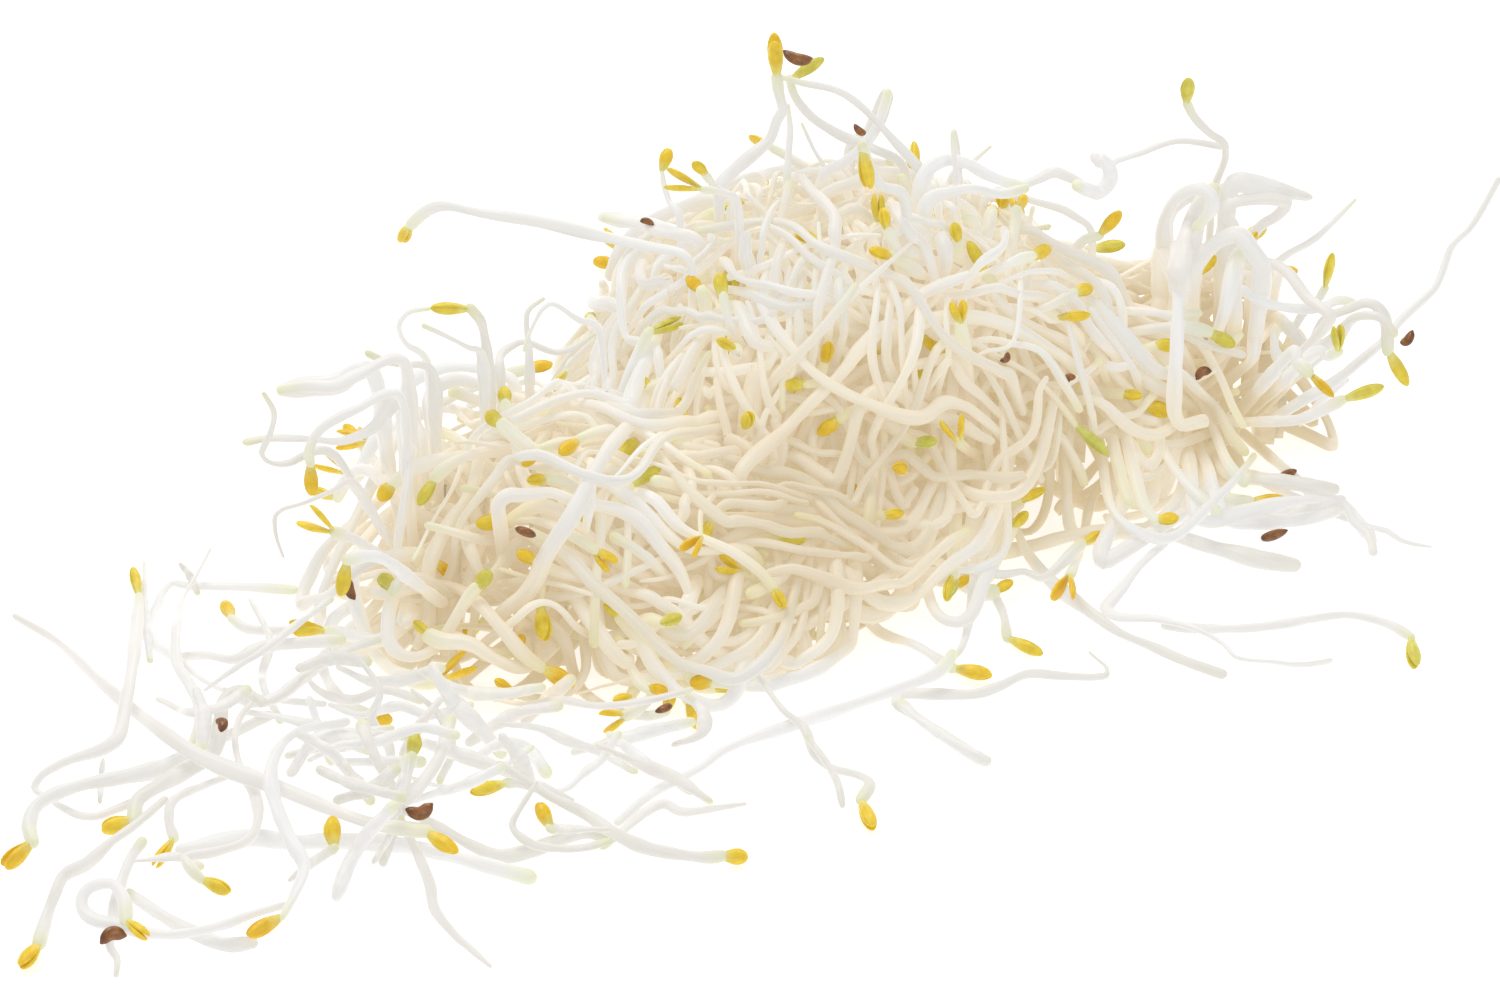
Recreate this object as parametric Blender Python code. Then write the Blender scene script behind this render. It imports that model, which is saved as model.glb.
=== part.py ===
"""Alfalfa sprouts: a loose, tangled heap of them lying on a flat surface.

Each sprout is a white stem that tapers into its root, with a pair of yellow cotyledons at
its top and, on a few, the brown coat of the seed. The middle of the heap is one tangle. The
sprouts that lie clear of it, mostly on the left and in front, are solids of their own.

Lengths are in millimetres until a mesh is made. +Z is up, the heap is seen along +Y, and the
origin is on the surface under the middle of the heap's box.
"""

import math
from typing import NamedTuple

import bmesh
import bpy
import numpy as np
from mathutils import Matrix, Vector

MM = 0.001
CAP_WELD = 0.000001

# An ordinary alfalfa sprout.
STEM_WIDTH = 1.3
ROOT_TIP_WIDTH = 0.62
BLUNT_TIP_SHARE = 0.8
SPROUT_LENGTHS = (30.0, 44.0)
COTYLEDON_LENGTH = 3.3
COTYLEDON_WIDTH = 1.55
COTYLEDON_THICKNESS = 1.2
COAT_WIDTH = 1.3
COAT_THICKNESS = 0.9

# The mounds that make up the heap: centre x and y, half length, half depth, height.
MOUNDS = {
    "crown": (9, 25, 29, 20, 25),
    "left": (-20, 5, 17, 18, 15),
    "right": (38, 29, 16, 13, 15),
    "front": (-10, 4, 24, 14, 11.5),
    "tail": (-38, -22, 26, 22, 4),
}
MOUND_ROUNDNESS = 0.7
MOUND_BLEND = 4
CORE_MOUNDS = ("crown", "left", "right", "front")
CORE_SPAN = 0.8
CORE_RISE = 0.7
CORE_STEPS = (12, 8)

# The heap is laid out from a picture of it, 1500 by 1000 pixels. A place in the picture is
# (pixels to the right, pixels down), and these say how the picture was taken.
PICTURE_CENTRE = (750, 500)
PIXELS_PER_MM = 12.0
VIEW_ELEVATION = math.radians(38)
VIEW_DISTANCE = 347.0
AIM_HEIGHT = 12.0

# How sprouts are laid out and eased apart.
KNOTS = 30
HEAD_KNOTS = (0.4, 0.8)
CLEARANCE = 0.5
EASING_ROUNDS = 90
BACK_SEED = 11
BACK_SPROUTS = 27
HEAD_SEED = 5
HEART_SPAN = 0.55
HEART_RISE = 0.2
WELL_INSIDE = 0.8
EDGE_HEIGHT = 5.0
TANGLE_TOLERANCES = (1.6, 1.0, 0.6, 0.2)
LOOSE_TOLERANCE = 0.2
LEAST_GAP = 0.25

STEM_COLOUR = (0.93, 0.9, 0.82, 1)
COTYLEDON_COLOUR = (0.9, 0.68, 0.07, 1)
COAT_COLOUR = (0.36, 0.17, 0.06, 1)


class Seen(NamedTuple):
    """A sprout whose route shows in the picture.

    route runs from the root end to the top of the stem, and tip is the far end of the
    cotyledons. lift is how high the two ends lie above the heap or the surface. depth, where
    it is given, is the y of the two ends of a sprout that stands clear of the heap. root is
    "tip" for a tapering root, "blunt" for a broken end and "sunk" for one inside the heap.
    top is "open" or "sunk". A sprout sunk at its start and open without cotyledons at its end
    has its root there.
    """

    width: float
    route: list
    tip: tuple = None
    lift: tuple = (0.7, 0.7)
    depth: tuple = None
    root: str = "tip"
    top: str = "open"


class Sprout(NamedTuple):
    """The middle line of a sprout as KNOTS points, its half width at each, and its tip."""

    line: np.ndarray
    radius: np.ndarray
    tip: np.ndarray
    held: np.ndarray


# Sprouts that lie clear of the tangle, each a stem and its cotyledons.
LOOSE = {
    "far_left": Seen(1.3, [(16, 617), (59, 643), (106, 687), (153, 725), (205, 759), (282, 789),
                           (367, 822), (425, 831)], (456, 852), (0.6, 3.0)),
    "tall_left": Seen(1.2, [(129, 804), (88, 817), (50, 800), (34, 786), (47, 772), (72, 759),
                            (100, 750), (118, 737), (126, 700), (134, 655), (139, 598)],
                      (132, 560), (0.6, 3.5)),
    "bent_left": Seen(1.1, [(323, 704), (279, 700), (235, 693), (205, 681), (179, 661),
                            (156, 645), (147, 631), (155, 610), (169, 585), (191, 586),
                            (249, 587), (293, 590)], None, (0.8, 2.5)),
    "upright_left": Seen(1.0, [(210, 550), (195, 578), (182, 600), (176, 628), (177, 663),
                               (191, 687), (199, 716), (190, 748)], None, (1.5, 2.2)),
    "hooked_left": Seen(1.3, [(268, 716), (215, 742), (182, 757), (158, 769), (117, 778),
                              (82, 785), (53, 795), (35, 808), (29, 827), (33, 842)],
                        (3, 867), (1.5, 0.9)),
    "coiled_left": Seen(1.4, [(262, 702), (240, 690), (224, 700), (220, 725), (213, 752),
                              (188, 770), (160, 785), (138, 800), (134, 820)],
                        (101, 829), (2.0, 1.2)),
    "front_left": Seen(1.2, [(164, 800), (135, 825), (111, 842), (88, 863), (65, 875),
                             (56, 892), (47, 916), (39, 943)], (21, 967), (0.7, 0.9)),
    "short_left": Seen(0.9, [(240, 772), (205, 785), (174, 800), (169, 820), (174, 838)],
                       (154, 867), (0.6, 0.9)),
    "thick_left": Seen(1.5, [(182, 850), (205, 847), (249, 838), (293, 842), (340, 841),
                             (400, 845), (450, 856), (528, 877)], None, (0.8, 0.8),
                       root="blunt"),
    "ringed": Seen(1.2, [(345, 722), (299, 731), (276, 754), (271, 783), (279, 813),
                         (293, 845), (304, 866), (295, 893), (283, 916)], (247, 936),
                   (2.6, 0.9)),
    "looped": Seen(1.1, [(250, 705), (240, 718), (235, 740), (241, 770), (254, 792),
                         (258, 818), (248, 840), (215, 852), (187, 857), (190, 868),
                         (201, 879)], (230, 892), (2.2, 0.8)),
    "front_root": Seen(1.0, [(116, 975), (117, 959), (110, 946), (112, 925), (116, 900),
                             (122, 880), (131, 858), (142, 842)], None, (0.5, 2.2)),
    "front_loop": Seen(1.1, [(284, 905), (250, 915), (223, 925), (182, 934), (147, 933),
                             (117, 925), (91, 918), (81, 902), (91, 887), (112, 884),
                             (124, 900), (126, 920)], (148, 938), (0.6, 4.2)),
    "front_stub": Seen(1.2, [(252, 943), (223, 944), (188, 930), (158, 913), (130, 894)],
                       None, (0.7, 0.8), root="blunt"),
    "crossing_root": Seen(1.2, [(337, 897), (352, 860), (366, 838), (390, 812), (420, 785),
                                (440, 755), (450, 720)], None, (0.6, 3.0)),
    "long_root": Seen(0.9, [(490, 966), (472, 950), (455, 935), (435, 910), (430, 885),
                            (418, 855), (400, 820)], None, (0.5, 2.2)),
    "wavy_left": Seen(1.2, [(182, 657), (205, 655), (235, 659), (264, 647), (300, 643),
                            (340, 640)], None, (1.6, 2.2)),
    "bridge_left": Seen(1.1, [(225, 692), (250, 703), (275, 698), (299, 681), (323, 663),
                              (345, 652)], None, (0.7, 2.2)),
    "nodding": Seen(0.9, [(290, 880), (307, 866), (322, 856), (334, 848)], (331, 818),
                    (0.6, 2.4)),
    "dark_seeded": Seen(1.2, [(383, 862), (396, 822), (404, 790), (408, 768), (411, 758)],
                        (417, 734), (0.7, 3.4)),
    "front_bow": Seen(1.2, [(398, 806), (439, 827), (471, 845), (501, 856), (530, 851),
                            (551, 843), (585, 833), (612, 839)], None, (1.6, 0.8)),
    "front_hoop": Seen(1.0, [(536, 784), (518, 812), (513, 828), (530, 843), (551, 848),
                             (581, 848), (606, 842)], None, (2.4, 0.7)),
    "front_nod": Seen(1.1, [(608, 830), (584, 829), (562, 829), (551, 828)], (538, 803),
                      (1.2, 2.6)),
    "front_reach": Seen(1.1, [(500, 764), (530, 783), (551, 797), (584, 813), (616, 834),
                              (650, 849), (700, 857), (722, 856)], (748, 857), (3.0, 0.8)),
    "front_tuck": Seen(1.0, [(572, 800), (548, 790), (525, 784), (507, 783)], (471, 792),
                       (0.8, 3.0)),
    "budded": Seen(0.9, [(745, 804), (717, 808), (683, 812), (664, 804), (644, 813),
                         (627, 827), (604, 846)], None, (0.6, 1.6)),
    "long_front": Seen(1.2, [(618, 822), (653, 793), (700, 768), (728, 748), (784, 728),
                             (841, 709), (897, 689), (938, 672), (952, 655)], None,
                       (0.6, 2.0)),
    "curled_front": Seen(1.0, [(752, 668), (768, 690), (784, 711), (804, 728), (815, 754),
                               (832, 768), (858, 775), (870, 784), (861, 800)], (873, 829),
                         (2.0, 0.9)),
    "front_spur": Seen(0.9, [(842, 804), (838, 785), (828, 765), (808, 738)], None,
                       (0.6, 2.4), root="blunt"),
    "folded_right": Seen(1.0, [(1090, 653), (1109, 671), (1097, 677), (1063, 676),
                               (1028, 674), (1002, 685), (975, 694), (937, 694), (903, 694),
                               (897, 703), (911, 713), (953, 740), (986, 761)], None,
                         (0.6, 0.8)),
    "right_reach": Seen(0.9, [(1165, 626), (1212, 629), (1262, 627), (1312, 619),
                              (1350, 615), (1388, 624), (1411, 637)], (1415, 668),
                        (0.7, 2.0), root="blunt"),
}

# Sprouts that show for part of their length and run into the tangle.
TANGLED = [
    # Top of the crown.
    Seen(1.2, [(720, 190), (731, 173), (752, 155), (770, 139), (776, 122), (783, 108),
               (779, 95), (777, 78)], (774, 34), depth=(26, 30), root="sunk"),
    Seen(1.2, [(905, 170), (874, 149), (849, 139), (833, 131), (813, 118), (800, 104),
               (793, 92), (790, 80)], (824, 58), depth=(28, 31), root="sunk"),
    Seen(1.0, [(967, 227), (937, 191), (911, 159), (896, 143), (879, 124), (863, 108),
               (846, 95), (829, 88), (803, 83), (781, 77)], None, depth=(25, 32), root="sunk"),
    Seen(1.0, [(787, 185), (788, 160), (790, 130), (788, 106)], None, depth=(27, 30),
         root="sunk"),
    Seen(0.8, [(826, 176), (813, 148), (802, 124)], None, depth=(28, 30), root="sunk"),
    Seen(1.2, [(824, 178), (843, 163), (863, 146), (876, 129), (883, 110), (888, 93)], None,
         depth=(27, 29), root="sunk"),
    Seen(1.0, [(905, 200), (880, 185), (868, 160), (862, 146)], (869, 188), depth=(20, 18),
         root="sunk"),
    Seen(0.7, [(680, 220), (670, 203), (664, 185), (662, 170)], (668, 152), depth=(24, 28),
         root="sunk"),
    Seen(0.8, [(735, 205), (716, 188), (705, 174)], (694, 162), depth=(24, 22), root="sunk"),
    Seen(0.8, [(738, 206), (722, 193), (702, 189)], (664, 177), depth=(20, 18), root="sunk"),
    Seen(1.1, [(690, 262), (650, 247), (600, 236), (540, 222), (480, 213), (445, 206),
               (425, 212), (411, 225)], (401, 241), depth=(20, 28), root="sunk"),
    Seen(1.3, [(700, 245), (660, 232), (640, 225), (605, 218)], None, depth=(22, 26),
         root="sunk"),
    Seen(1.0, [(957, 195), (955, 165), (953, 134)], None, depth=(24, 27), root="sunk"),
    Seen(0.7, [(950, 180), (972, 162), (990, 147)], None, depth=(26, 28), root="sunk"),
    Seen(1.6, [(922, 190), (928, 170), (945, 160), (966, 163), (984, 173), (1003, 181),
               (1022, 186)], None, depth=(25, 27), root="sunk"),
    Seen(1.4, [(925, 207), (950, 192), (975, 189), (1000, 194), (1024, 189)], None,
         depth=(23, 25), root="sunk"),
    Seen(1.0, [(1018, 255), (1026, 233), (1033, 208)], None, depth=(24, 28), root="sunk"),
    # Left of the crown, over the left mound.
    Seen(1.1, [(489, 372), (486, 345), (481, 322), (471, 309)], (430, 308), depth=(8, 6),
         root="sunk"),
    Seen(0.9, [(428, 364), (405, 343), (399, 325), (410, 312), (428, 309)], None,
         depth=(8, 6), root="sunk"),
    Seen(1.0, [(482, 358), (467, 347), (442, 334), (424, 326)], None, depth=(6, 2),
         root="sunk"),
    Seen(1.5, [(404, 362), (360, 374), (335, 386), (305, 386), (281, 390)], None,
         depth=(4, 0), root="sunk"),
    Seen(1.2, [(432, 372), (404, 365), (385, 361), (369, 354)], None, depth=(6, 4),
         root="sunk"),
    Seen(1.3, [(399, 403), (373, 428), (342, 441), (309, 439), (271, 438), (248, 442)], None,
         depth=(2, -4), root="sunk"),
    Seen(0.9, [(330, 452), (284, 464), (262, 456), (270, 434), (274, 413), (264, 394)], None,
         depth=(-2, -4), root="sunk"),
    Seen(1.1, [(400, 396), (355, 410), (322, 428), (310, 448), (310, 462)], (312, 496),
         depth=(0, -6), root="sunk"),
    Seen(0.9, [(283, 556), (276, 535), (277, 513), (304, 503), (330, 492), (352, 484)], None,
         depth=(-9, -3), top="sunk"),
    Seen(0.9, [(423, 440), (415, 415), (414, 385)], None, lift=(0, 3), root="sunk"),
    Seen(0.9, [(530, 400), (529, 352), (527, 314), (543, 299)], None, depth=(12, 14),
         root="sunk"),
    Seen(0.8, [(600, 335), (577, 319), (549, 304), (531, 330), (524, 350)], None,
         depth=(16, 12), root="sunk"),
    Seen(0.8, [(500, 372), (500, 356), (510, 347), (526, 342), (560, 352), (598, 332)], None,
         depth=(8, 16), root="sunk"),
    Seen(1.1, [(398, 552), (403, 510), (410, 467), (415, 425), (414, 395)], None,
         lift=(0, 2.0), root="sunk"),
    Seen(1.1, [(375, 552), (356, 540), (334, 532)], (296, 510), depth=(-8, -13),
         root="sunk"),
    Seen(1.1, [(385, 560), (365, 556), (347, 560)], (341, 596), depth=(-9, -13),
         root="sunk"),
    Seen(1.0, [(360, 632), (300, 630), (279, 631), (249, 629), (232, 619)], (220, 592),
         lift=(0, 2.0), root="sunk"),
    Seen(1.3, [(380, 640), (352, 636), (328, 632)], (290, 627), lift=(0, 3.5), root="sunk"),
    # Right of the crown, over the right mound.
    Seen(1.0, [(1213, 195), (1218, 178), (1225, 159), (1224, 143), (1211, 134), (1195, 118),
               (1187, 103)], (1188, 78), depth=(33, 31), root="sunk"),
    Seen(1.1, [(1225, 147), (1187, 141), (1166, 143), (1141, 153), (1115, 162), (1109, 173),
               (1097, 190), (1077, 181), (1054, 172), (1036, 180), (1013, 189), (985, 200)],
         None, depth=(34, 27), top="sunk"),
    Seen(0.8, [(1092, 234), (1082, 222), (1064, 210), (1044, 204), (1013, 196), (985, 196)],
         None, depth=(30, 28), root="sunk", top="sunk"),
    Seen(1.0, [(1072, 268), (1074, 252), (1084, 240), (1099, 236)], (1121, 211),
         depth=(27, 26), root="sunk"),
    Seen(1.6, [(1180, 290), (1165, 250), (1166, 216), (1182, 194), (1205, 190), (1212, 208),
               (1198, 226)], None, depth=(24, 27), root="sunk"),
    Seen(1.2, [(1230, 225), (1217, 196), (1240, 183), (1262, 186), (1284, 191), (1309, 197)],
         None, depth=(30, 32), root="sunk"),
    Seen(1.1, [(1235, 230), (1222, 209), (1250, 199), (1284, 200), (1282, 212), (1268, 221),
               (1254, 232), (1250, 252), (1256, 275)], None, depth=(28, 25), root="sunk",
         top="sunk"),
    Seen(1.9, [(1194, 262), (1196, 236), (1202, 214), (1210, 192)], None, depth=(26, 30),
         root="sunk"),
    Seen(1.7, [(1192, 272), (1206, 252), (1222, 239), (1240, 235), (1251, 250), (1262, 270)],
         None, depth=(24, 24), root="sunk", top="sunk"),
    Seen(1.3, [(1240, 264), (1265, 262), (1285, 270), (1299, 287), (1312, 303), (1330, 318)],
         None, depth=(25, 21), root="sunk", top="sunk"),
    Seen(1.4, [(1235, 292), (1262, 302), (1290, 308), (1318, 308), (1340, 300), (1354, 304)],
         None, depth=(23, 22), root="sunk"),
    Seen(0.9, [(1262, 280), (1284, 257), (1313, 240), (1334, 221), (1355, 200)], None,
         depth=(28, 32), root="sunk"),
    Seen(1.3, [(1498, 181), (1482, 210), (1468, 231), (1452, 246), (1444, 267), (1435, 288),
               (1418, 304), (1401, 320), (1383, 341), (1361, 360), (1335, 381), (1300, 402),
               (1270, 420)], None, depth=(38, 18), top="sunk"),
    Seen(0.8, [(1300, 318), (1317, 301), (1325, 288)], (1333, 250), depth=(24, 23),
         root="sunk"),
    Seen(1.2, [(1310, 345), (1325, 320), (1348, 309), (1370, 303), (1385, 318), (1388, 350)],
         (1406, 383), depth=(22, 19), root="sunk"),
    Seen(1.2, [(1316, 352), (1328, 356), (1338, 351)], (1338, 326), depth=(20, 17),
         root="sunk"),
    Seen(1.2, [(1292, 352), (1298, 362), (1308, 372)], (1334, 397), depth=(18, 14),
         root="sunk"),
    Seen(1.1, [(1296, 420), (1318, 412), (1342, 400)], (1384, 386), depth=(14, 13),
         root="sunk"),
    Seen(1.3, [(1373, 552), (1369, 535), (1354, 521), (1345, 504), (1327, 499), (1290, 502),
               (1245, 512), (1200, 520)], None, lift=(0.6, 1.5), top="sunk"),
    Seen(0.8, [(1430, 547), (1403, 541), (1385, 530), (1368, 526), (1300, 500),
               (1240, 470)], None, lift=(0.5, 1.2), top="sunk"),
    Seen(1.2, [(1334, 489), (1300, 483), (1260, 478), (1215, 470)], None, lift=(2.5, 2.0),
         top="sunk"),
    Seen(1.5, [(1294, 565), (1262, 560), (1227, 551), (1185, 542), (1128, 532), (1074, 535),
               (1032, 546), (985, 556)], None, lift=(0.7, 1.5), root="blunt"),
    # In front of the heap on the right.
    Seen(1.1, [(1329, 661), (1300, 665), (1266, 661), (1239, 659), (1222, 643), (1195, 629),
               (1158, 619), (1107, 614), (1122, 588), (1143, 562), (1168, 540), (1205, 500)],
         None, lift=(0.6, 2.0), top="sunk"),
    Seen(1.2, [(1222, 674), (1185, 661), (1151, 646), (1120, 633), (1097, 617), (1074, 600),
               (1051, 581), (1028, 554), (1010, 520)], None, lift=(0.6, 1.5), top="sunk"),
    Seen(1.0, [(1092, 500), (1084, 535), (1078, 558), (1070, 575)], (1059, 607),
         lift=(0, 2.5), root="sunk"),
    Seen(1.0, [(925, 535), (944, 554), (967, 577), (990, 592), (1003, 613), (1007, 638)],
         (1043, 654), lift=(0, 1.5), root="sunk"),
    Seen(1.1, [(850, 600), (880, 632), (915, 645), (952, 668)], (992, 675),
         lift=(0.5, 0.9), root="sunk"),
    Seen(1.1, [(978, 520), (976, 560), (972, 600), (964, 642), (950, 662)], None,
         lift=(1.0, 0.8), root="sunk"),
    Seen(1.1, [(880, 570), (930, 560), (955, 574)], (948, 600), lift=(0, 3.0), root="sunk"),
    # Over the face of the heap.
    Seen(1.2, [(905, 352), (925, 322), (967, 317), (993, 321), (1015, 329), (1040, 343),
               (1065, 359), (1086, 380), (1105, 410)], None,
         lift=(0.5, 0.5), root="sunk", top="sunk"),
    Seen(1.2, [(640, 530), (663, 517), (689, 514), (724, 518), (768, 521), (806, 523),
               (857, 520), (898, 518), (950, 510), (1000, 495)], None, lift=(1.0, 1.0),
         root="sunk", top="sunk"),
    Seen(1.4, [(498, 615), (530, 590), (548, 552), (571, 518), (587, 487), (607, 451),
               (628, 426), (653, 390), (675, 366)], None, lift=(1.5, 1.2), root="sunk",
         top="sunk"),
    Seen(1.3, [(660, 392), (695, 346), (717, 330), (740, 316), (773, 296), (807, 285)], None,
         lift=(1.4, 1.0), root="sunk", top="sunk"),
    Seen(1.3, [(742, 470), (784, 431), (812, 402), (841, 374), (863, 346), (893, 326)], None,
         lift=(1.5, 1.3), root="sunk", top="sunk"),
    Seen(1.3, [(748, 376), (798, 338), (829, 299), (838, 285)], None, lift=(1.0, 1.2),
         root="sunk", top="sunk"),
    Seen(0.8, [(914, 240), (883, 268), (849, 299), (830, 325)], None, lift=(1.4, 0.6),
         top="sunk"),
    Seen(1.4, [(755, 372), (757, 400), (754, 432), (730, 456), (708, 480)], None,
         lift=(1.0, 1.0), root="sunk", top="sunk"),
    Seen(1.3, [(775, 645), (812, 622), (855, 598), (897, 571), (940, 545), (988, 520),
               (1020, 500)], None, lift=(1.0, 1.6), root="sunk", top="sunk"),
    Seen(1.2, [(500, 500), (528, 495), (554, 493), (574, 502), (612, 508), (638, 520),
               (658, 543), (679, 570), (690, 600)], None, lift=(1.3, 1.0), root="sunk",
         top="sunk"),
    Seen(1.2, [(1204, 420), (1176, 419), (1177, 340), (1178, 290), (1176, 245)], None,
         lift=(1.4, 1.4), root="sunk", top="sunk"),
    Seen(1.4, [(1100, 560), (1140, 540), (1178, 516), (1204, 493), (1238, 468)], None,
         lift=(1.6, 2.0), root="sunk", top="sunk"),
]

# Cotyledons that show on the face of the heap: where the stem ends, and their far tip.
FACE_HEADS = [
    ((712, 213), (744, 212)), ((822, 243), (795, 231)), ((986, 276), (966, 240)),
    ((619, 264), (593, 261)), ((736, 299), (735, 272)), ((762, 343), (789, 338)),
    ((821, 364), (827, 341)), ((958, 320), (955, 297)), ((918, 338), (946, 357)),
    ((780, 378), (813, 393)), ((670, 398), (685, 423)), ((839, 417), (814, 434)),
    ((622, 486), (650, 463)), ((539, 451), (521, 466)), ((768, 533), (802, 533)),
    ((743, 573), (716, 561)), ((592, 549), (612, 567)), ((1142, 404), (1171, 413)),
    ((1210, 336), (1237, 350)), ((1008, 509), (1037, 494)), ((436, 477), (419, 505)),
    ((504, 618), (464, 637)), ((541, 667), (573, 685)), ((438, 681), (475, 658)),
    ((690, 704), (706, 742)), ((583, 514), (591, 533)), ((640, 440), (622, 456)),
    ((1244, 504), (1281, 502)),
]

# Seed coats that lie on or by the heap: their two ends in the picture, and their lift.
COATS = {
    "seed_coat_front": ((405, 809), (433, 803), 4.4),
    "seed_coat_left": ((100, 944), (127, 936), 3.2),
}


def sight_line(place):
    """Where a place in the picture is seen from, and the direction it is seen in."""
    forward = np.array([0, math.cos(VIEW_ELEVATION), -math.sin(VIEW_ELEVATION)])
    upward = np.array([0, math.sin(VIEW_ELEVATION), math.cos(VIEW_ELEVATION)])
    eye = np.array([0, 0, AIM_HEIGHT]) - forward * VIEW_DISTANCE
    across, down = (np.array(place) - PICTURE_CENTRE) / (PIXELS_PER_MM * VIEW_DISTANCE)
    direction = forward + np.array([across, 0, 0]) - upward * down
    return eye, direction / np.linalg.norm(direction)


def heap_height(x, y):
    """Height of the heap's loose outer surface over the points x, y."""
    total = 0.0
    for middle_x, middle_y, half_length, half_depth, height in MOUNDS.values():
        out = ((x - middle_x) / half_length) ** 2 + ((y - middle_y) / half_depth) ** 2
        total = total + (height * np.clip(1 - out, 0, None) ** MOUND_ROUNDNESS) ** MOUND_BLEND
    return total ** (1 / MOUND_BLEND)


def on_heap(place, lift):
    """The nearest point seen at place that is lift above the heap or the surface."""
    eye, direction = sight_line(place)
    reach = np.linspace(VIEW_DISTANCE - 110, VIEW_DISTANCE + 110, 900)[:, None]
    points = eye + direction * reach
    above = points[:, 2] - heap_height(points[:, 0], points[:, 1]) - lift
    return points[np.argmax(above <= 0)]


def at_depth(place, y):
    """The point seen at place that is y away from the front."""
    eye, direction = sight_line(place)
    return eye + direction * (y - eye[1]) / direction[1]


def evenly(points, count):
    """A smooth line through the points, as count points at equal steps."""
    points = np.asarray(points, float)
    ends = [2 * points[0] - points[1]], [2 * points[-1] - points[-2]]
    spread = np.concatenate([ends[0], points, ends[1]])
    t = np.linspace(0, 1, 12, endpoint=False)[:, None]
    dense = []
    for a, b, c, d in zip(spread, spread[1:], spread[2:], spread[3:]):
        dense.append(0.5 * (2 * b + (c - a) * t + (2 * a - 5 * b + 4 * c - d) * t**2
                            + (3 * b - a - 3 * c + d) * t**3))
    dense = np.concatenate(dense + [points[-1:]])
    walked = np.append(0, np.cumsum(np.linalg.norm(np.diff(dense, axis=0), axis=1)))
    wanted = np.linspace(0, walked[-1], count)
    return np.stack([np.interp(wanted, walked, dense[:, axis]) for axis in range(3)], 1)


def widths(width, root, top="open", headed=True):
    """Half width at each knot: a root that tapers, a slight swelling, a stem and a neck."""
    share = np.linspace(0, 1, KNOTS)
    if root == "sunk" and top == "open" and not headed:
        share = 1 - share
        root = "tip"
    if root == "tip":
        profile = np.interp(share, [0, 0.12, 0.45, 0.62, 1], [0, 0.4, 1.08, 1.0, 0.85])
    elif root == "blunt":
        profile = np.interp(share, [0, 0.06, 0.3, 1], [BLUNT_TIP_SHARE, 1.05, 1.0, 0.85])
    else:
        profile = np.interp(share, [0, 0.5, 1], [1.05, 1.0, 0.85])
    return np.maximum(profile * width, ROOT_TIP_WIDTH) / 2


def heart_of_heap(point):
    """A place low inside the heap near the point, for a hidden end to head for."""
    middle_x, middle_y, half_length, half_depth, height = min(
        (MOUNDS[name] for name in CORE_MOUNDS),
        key=lambda mound: math.hypot(point[0] - mound[0], point[1] - mound[1]),
    )
    across = (point[0] - middle_x) / half_length
    back = (point[1] - middle_y) / half_depth
    nearer = min(1, HEART_SPAN / max(math.hypot(across, back), 0.01))
    return np.array([middle_x + across * nearer * half_length,
                     middle_y + back * nearer * half_depth, HEART_RISE * height])


def in_core(point):
    """Whether the point is well inside one of the mounds of the core."""
    for middle_x, middle_y, half_length, half_depth, height in map(MOUNDS.get, CORE_MOUNDS):
        out = math.hypot((point[0] - middle_x) / (half_length * CORE_SPAN),
                         (point[1] - middle_y) / (half_depth * CORE_SPAN),
                         point[2] / (height * CORE_RISE))
        if out < WELL_INSIDE:
            return True
    return False


def down_to_core(point):
    """Two places beyond the point for a hidden end, the further one inside the core."""
    inward = heart_of_heap(point) - point
    for share in np.linspace(0.1, 1, 19):
        if in_core(point + inward * share):
            break
    return [point + inward * share * 0.5, point + inward * share]


def traced(seen):
    """The sprout that shows in the picture along a route."""
    places = seen.route + ([seen.tip] if seen.tip else [])
    share = np.linspace(0, 1, len(places))
    if seen.depth:
        points = [at_depth(p, seen.depth[0] + (seen.depth[1] - seen.depth[0]) * s)
                  for p, s in zip(places, share)]
    else:
        points = [on_heap(p, seen.lift[0] + (seen.lift[1] - seen.lift[0]) * s)
                  for p, s in zip(places, share)]
    tip = points.pop() if seen.tip else None
    sight = [sight_line(p)[1] for p in seen.route]
    if seen.root == "sunk":
        points = down_to_core(points[0])[::-1] + points
        sight = [sight[0]] * 2 + sight
    if seen.top == "sunk":
        points = points + down_to_core(points[-1])
        sight = sight + [sight[-1]] * 2
    profile = widths(seen.width, seen.root, seen.top, seen.tip is not None)
    return Sprout(evenly(points, KNOTS), profile, tip, evenly(sight, KNOTS))


def grown(neck, away, length, rng):
    """A sprout laid over the heap from its neck, in the direction away, then down into it."""
    step = length / (KNOTS - 1)
    wave = rng.uniform(18, 34)
    turn = rng.uniform(0.04, 0.12)
    phase = rng.uniform(0, 2 * math.pi)
    heading = math.atan2(away[1], away[0])
    x, y = neck[0], neck[1]
    lift = neck[2] - float(heap_height(x, y))
    points = []
    for knot in range(KNOTS):
        share = knot / (KNOTS - 1)
        height = float(heap_height(x, y))
        points.append((x, y, max(height * (1 - 0.6 * share) + lift * (1 - share), 0.7)))
        heading += step * turn * math.sin(2 * math.pi * knot * step / wave + phase)
        if height < EDGE_HEIGHT:
            target = heart_of_heap((x, y, height))
            home = math.atan2(target[1] - y, target[0] - x)
            heading += step * 0.1 * math.remainder(home - heading, 2 * math.pi)
        x += step * 0.75 * math.cos(heading)
        y += step * 0.75 * math.sin(heading)
    if not any(in_core(point) for point in points):
        points += down_to_core(np.array(points[-1]))
    return evenly(points[::-1], KNOTS)


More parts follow.
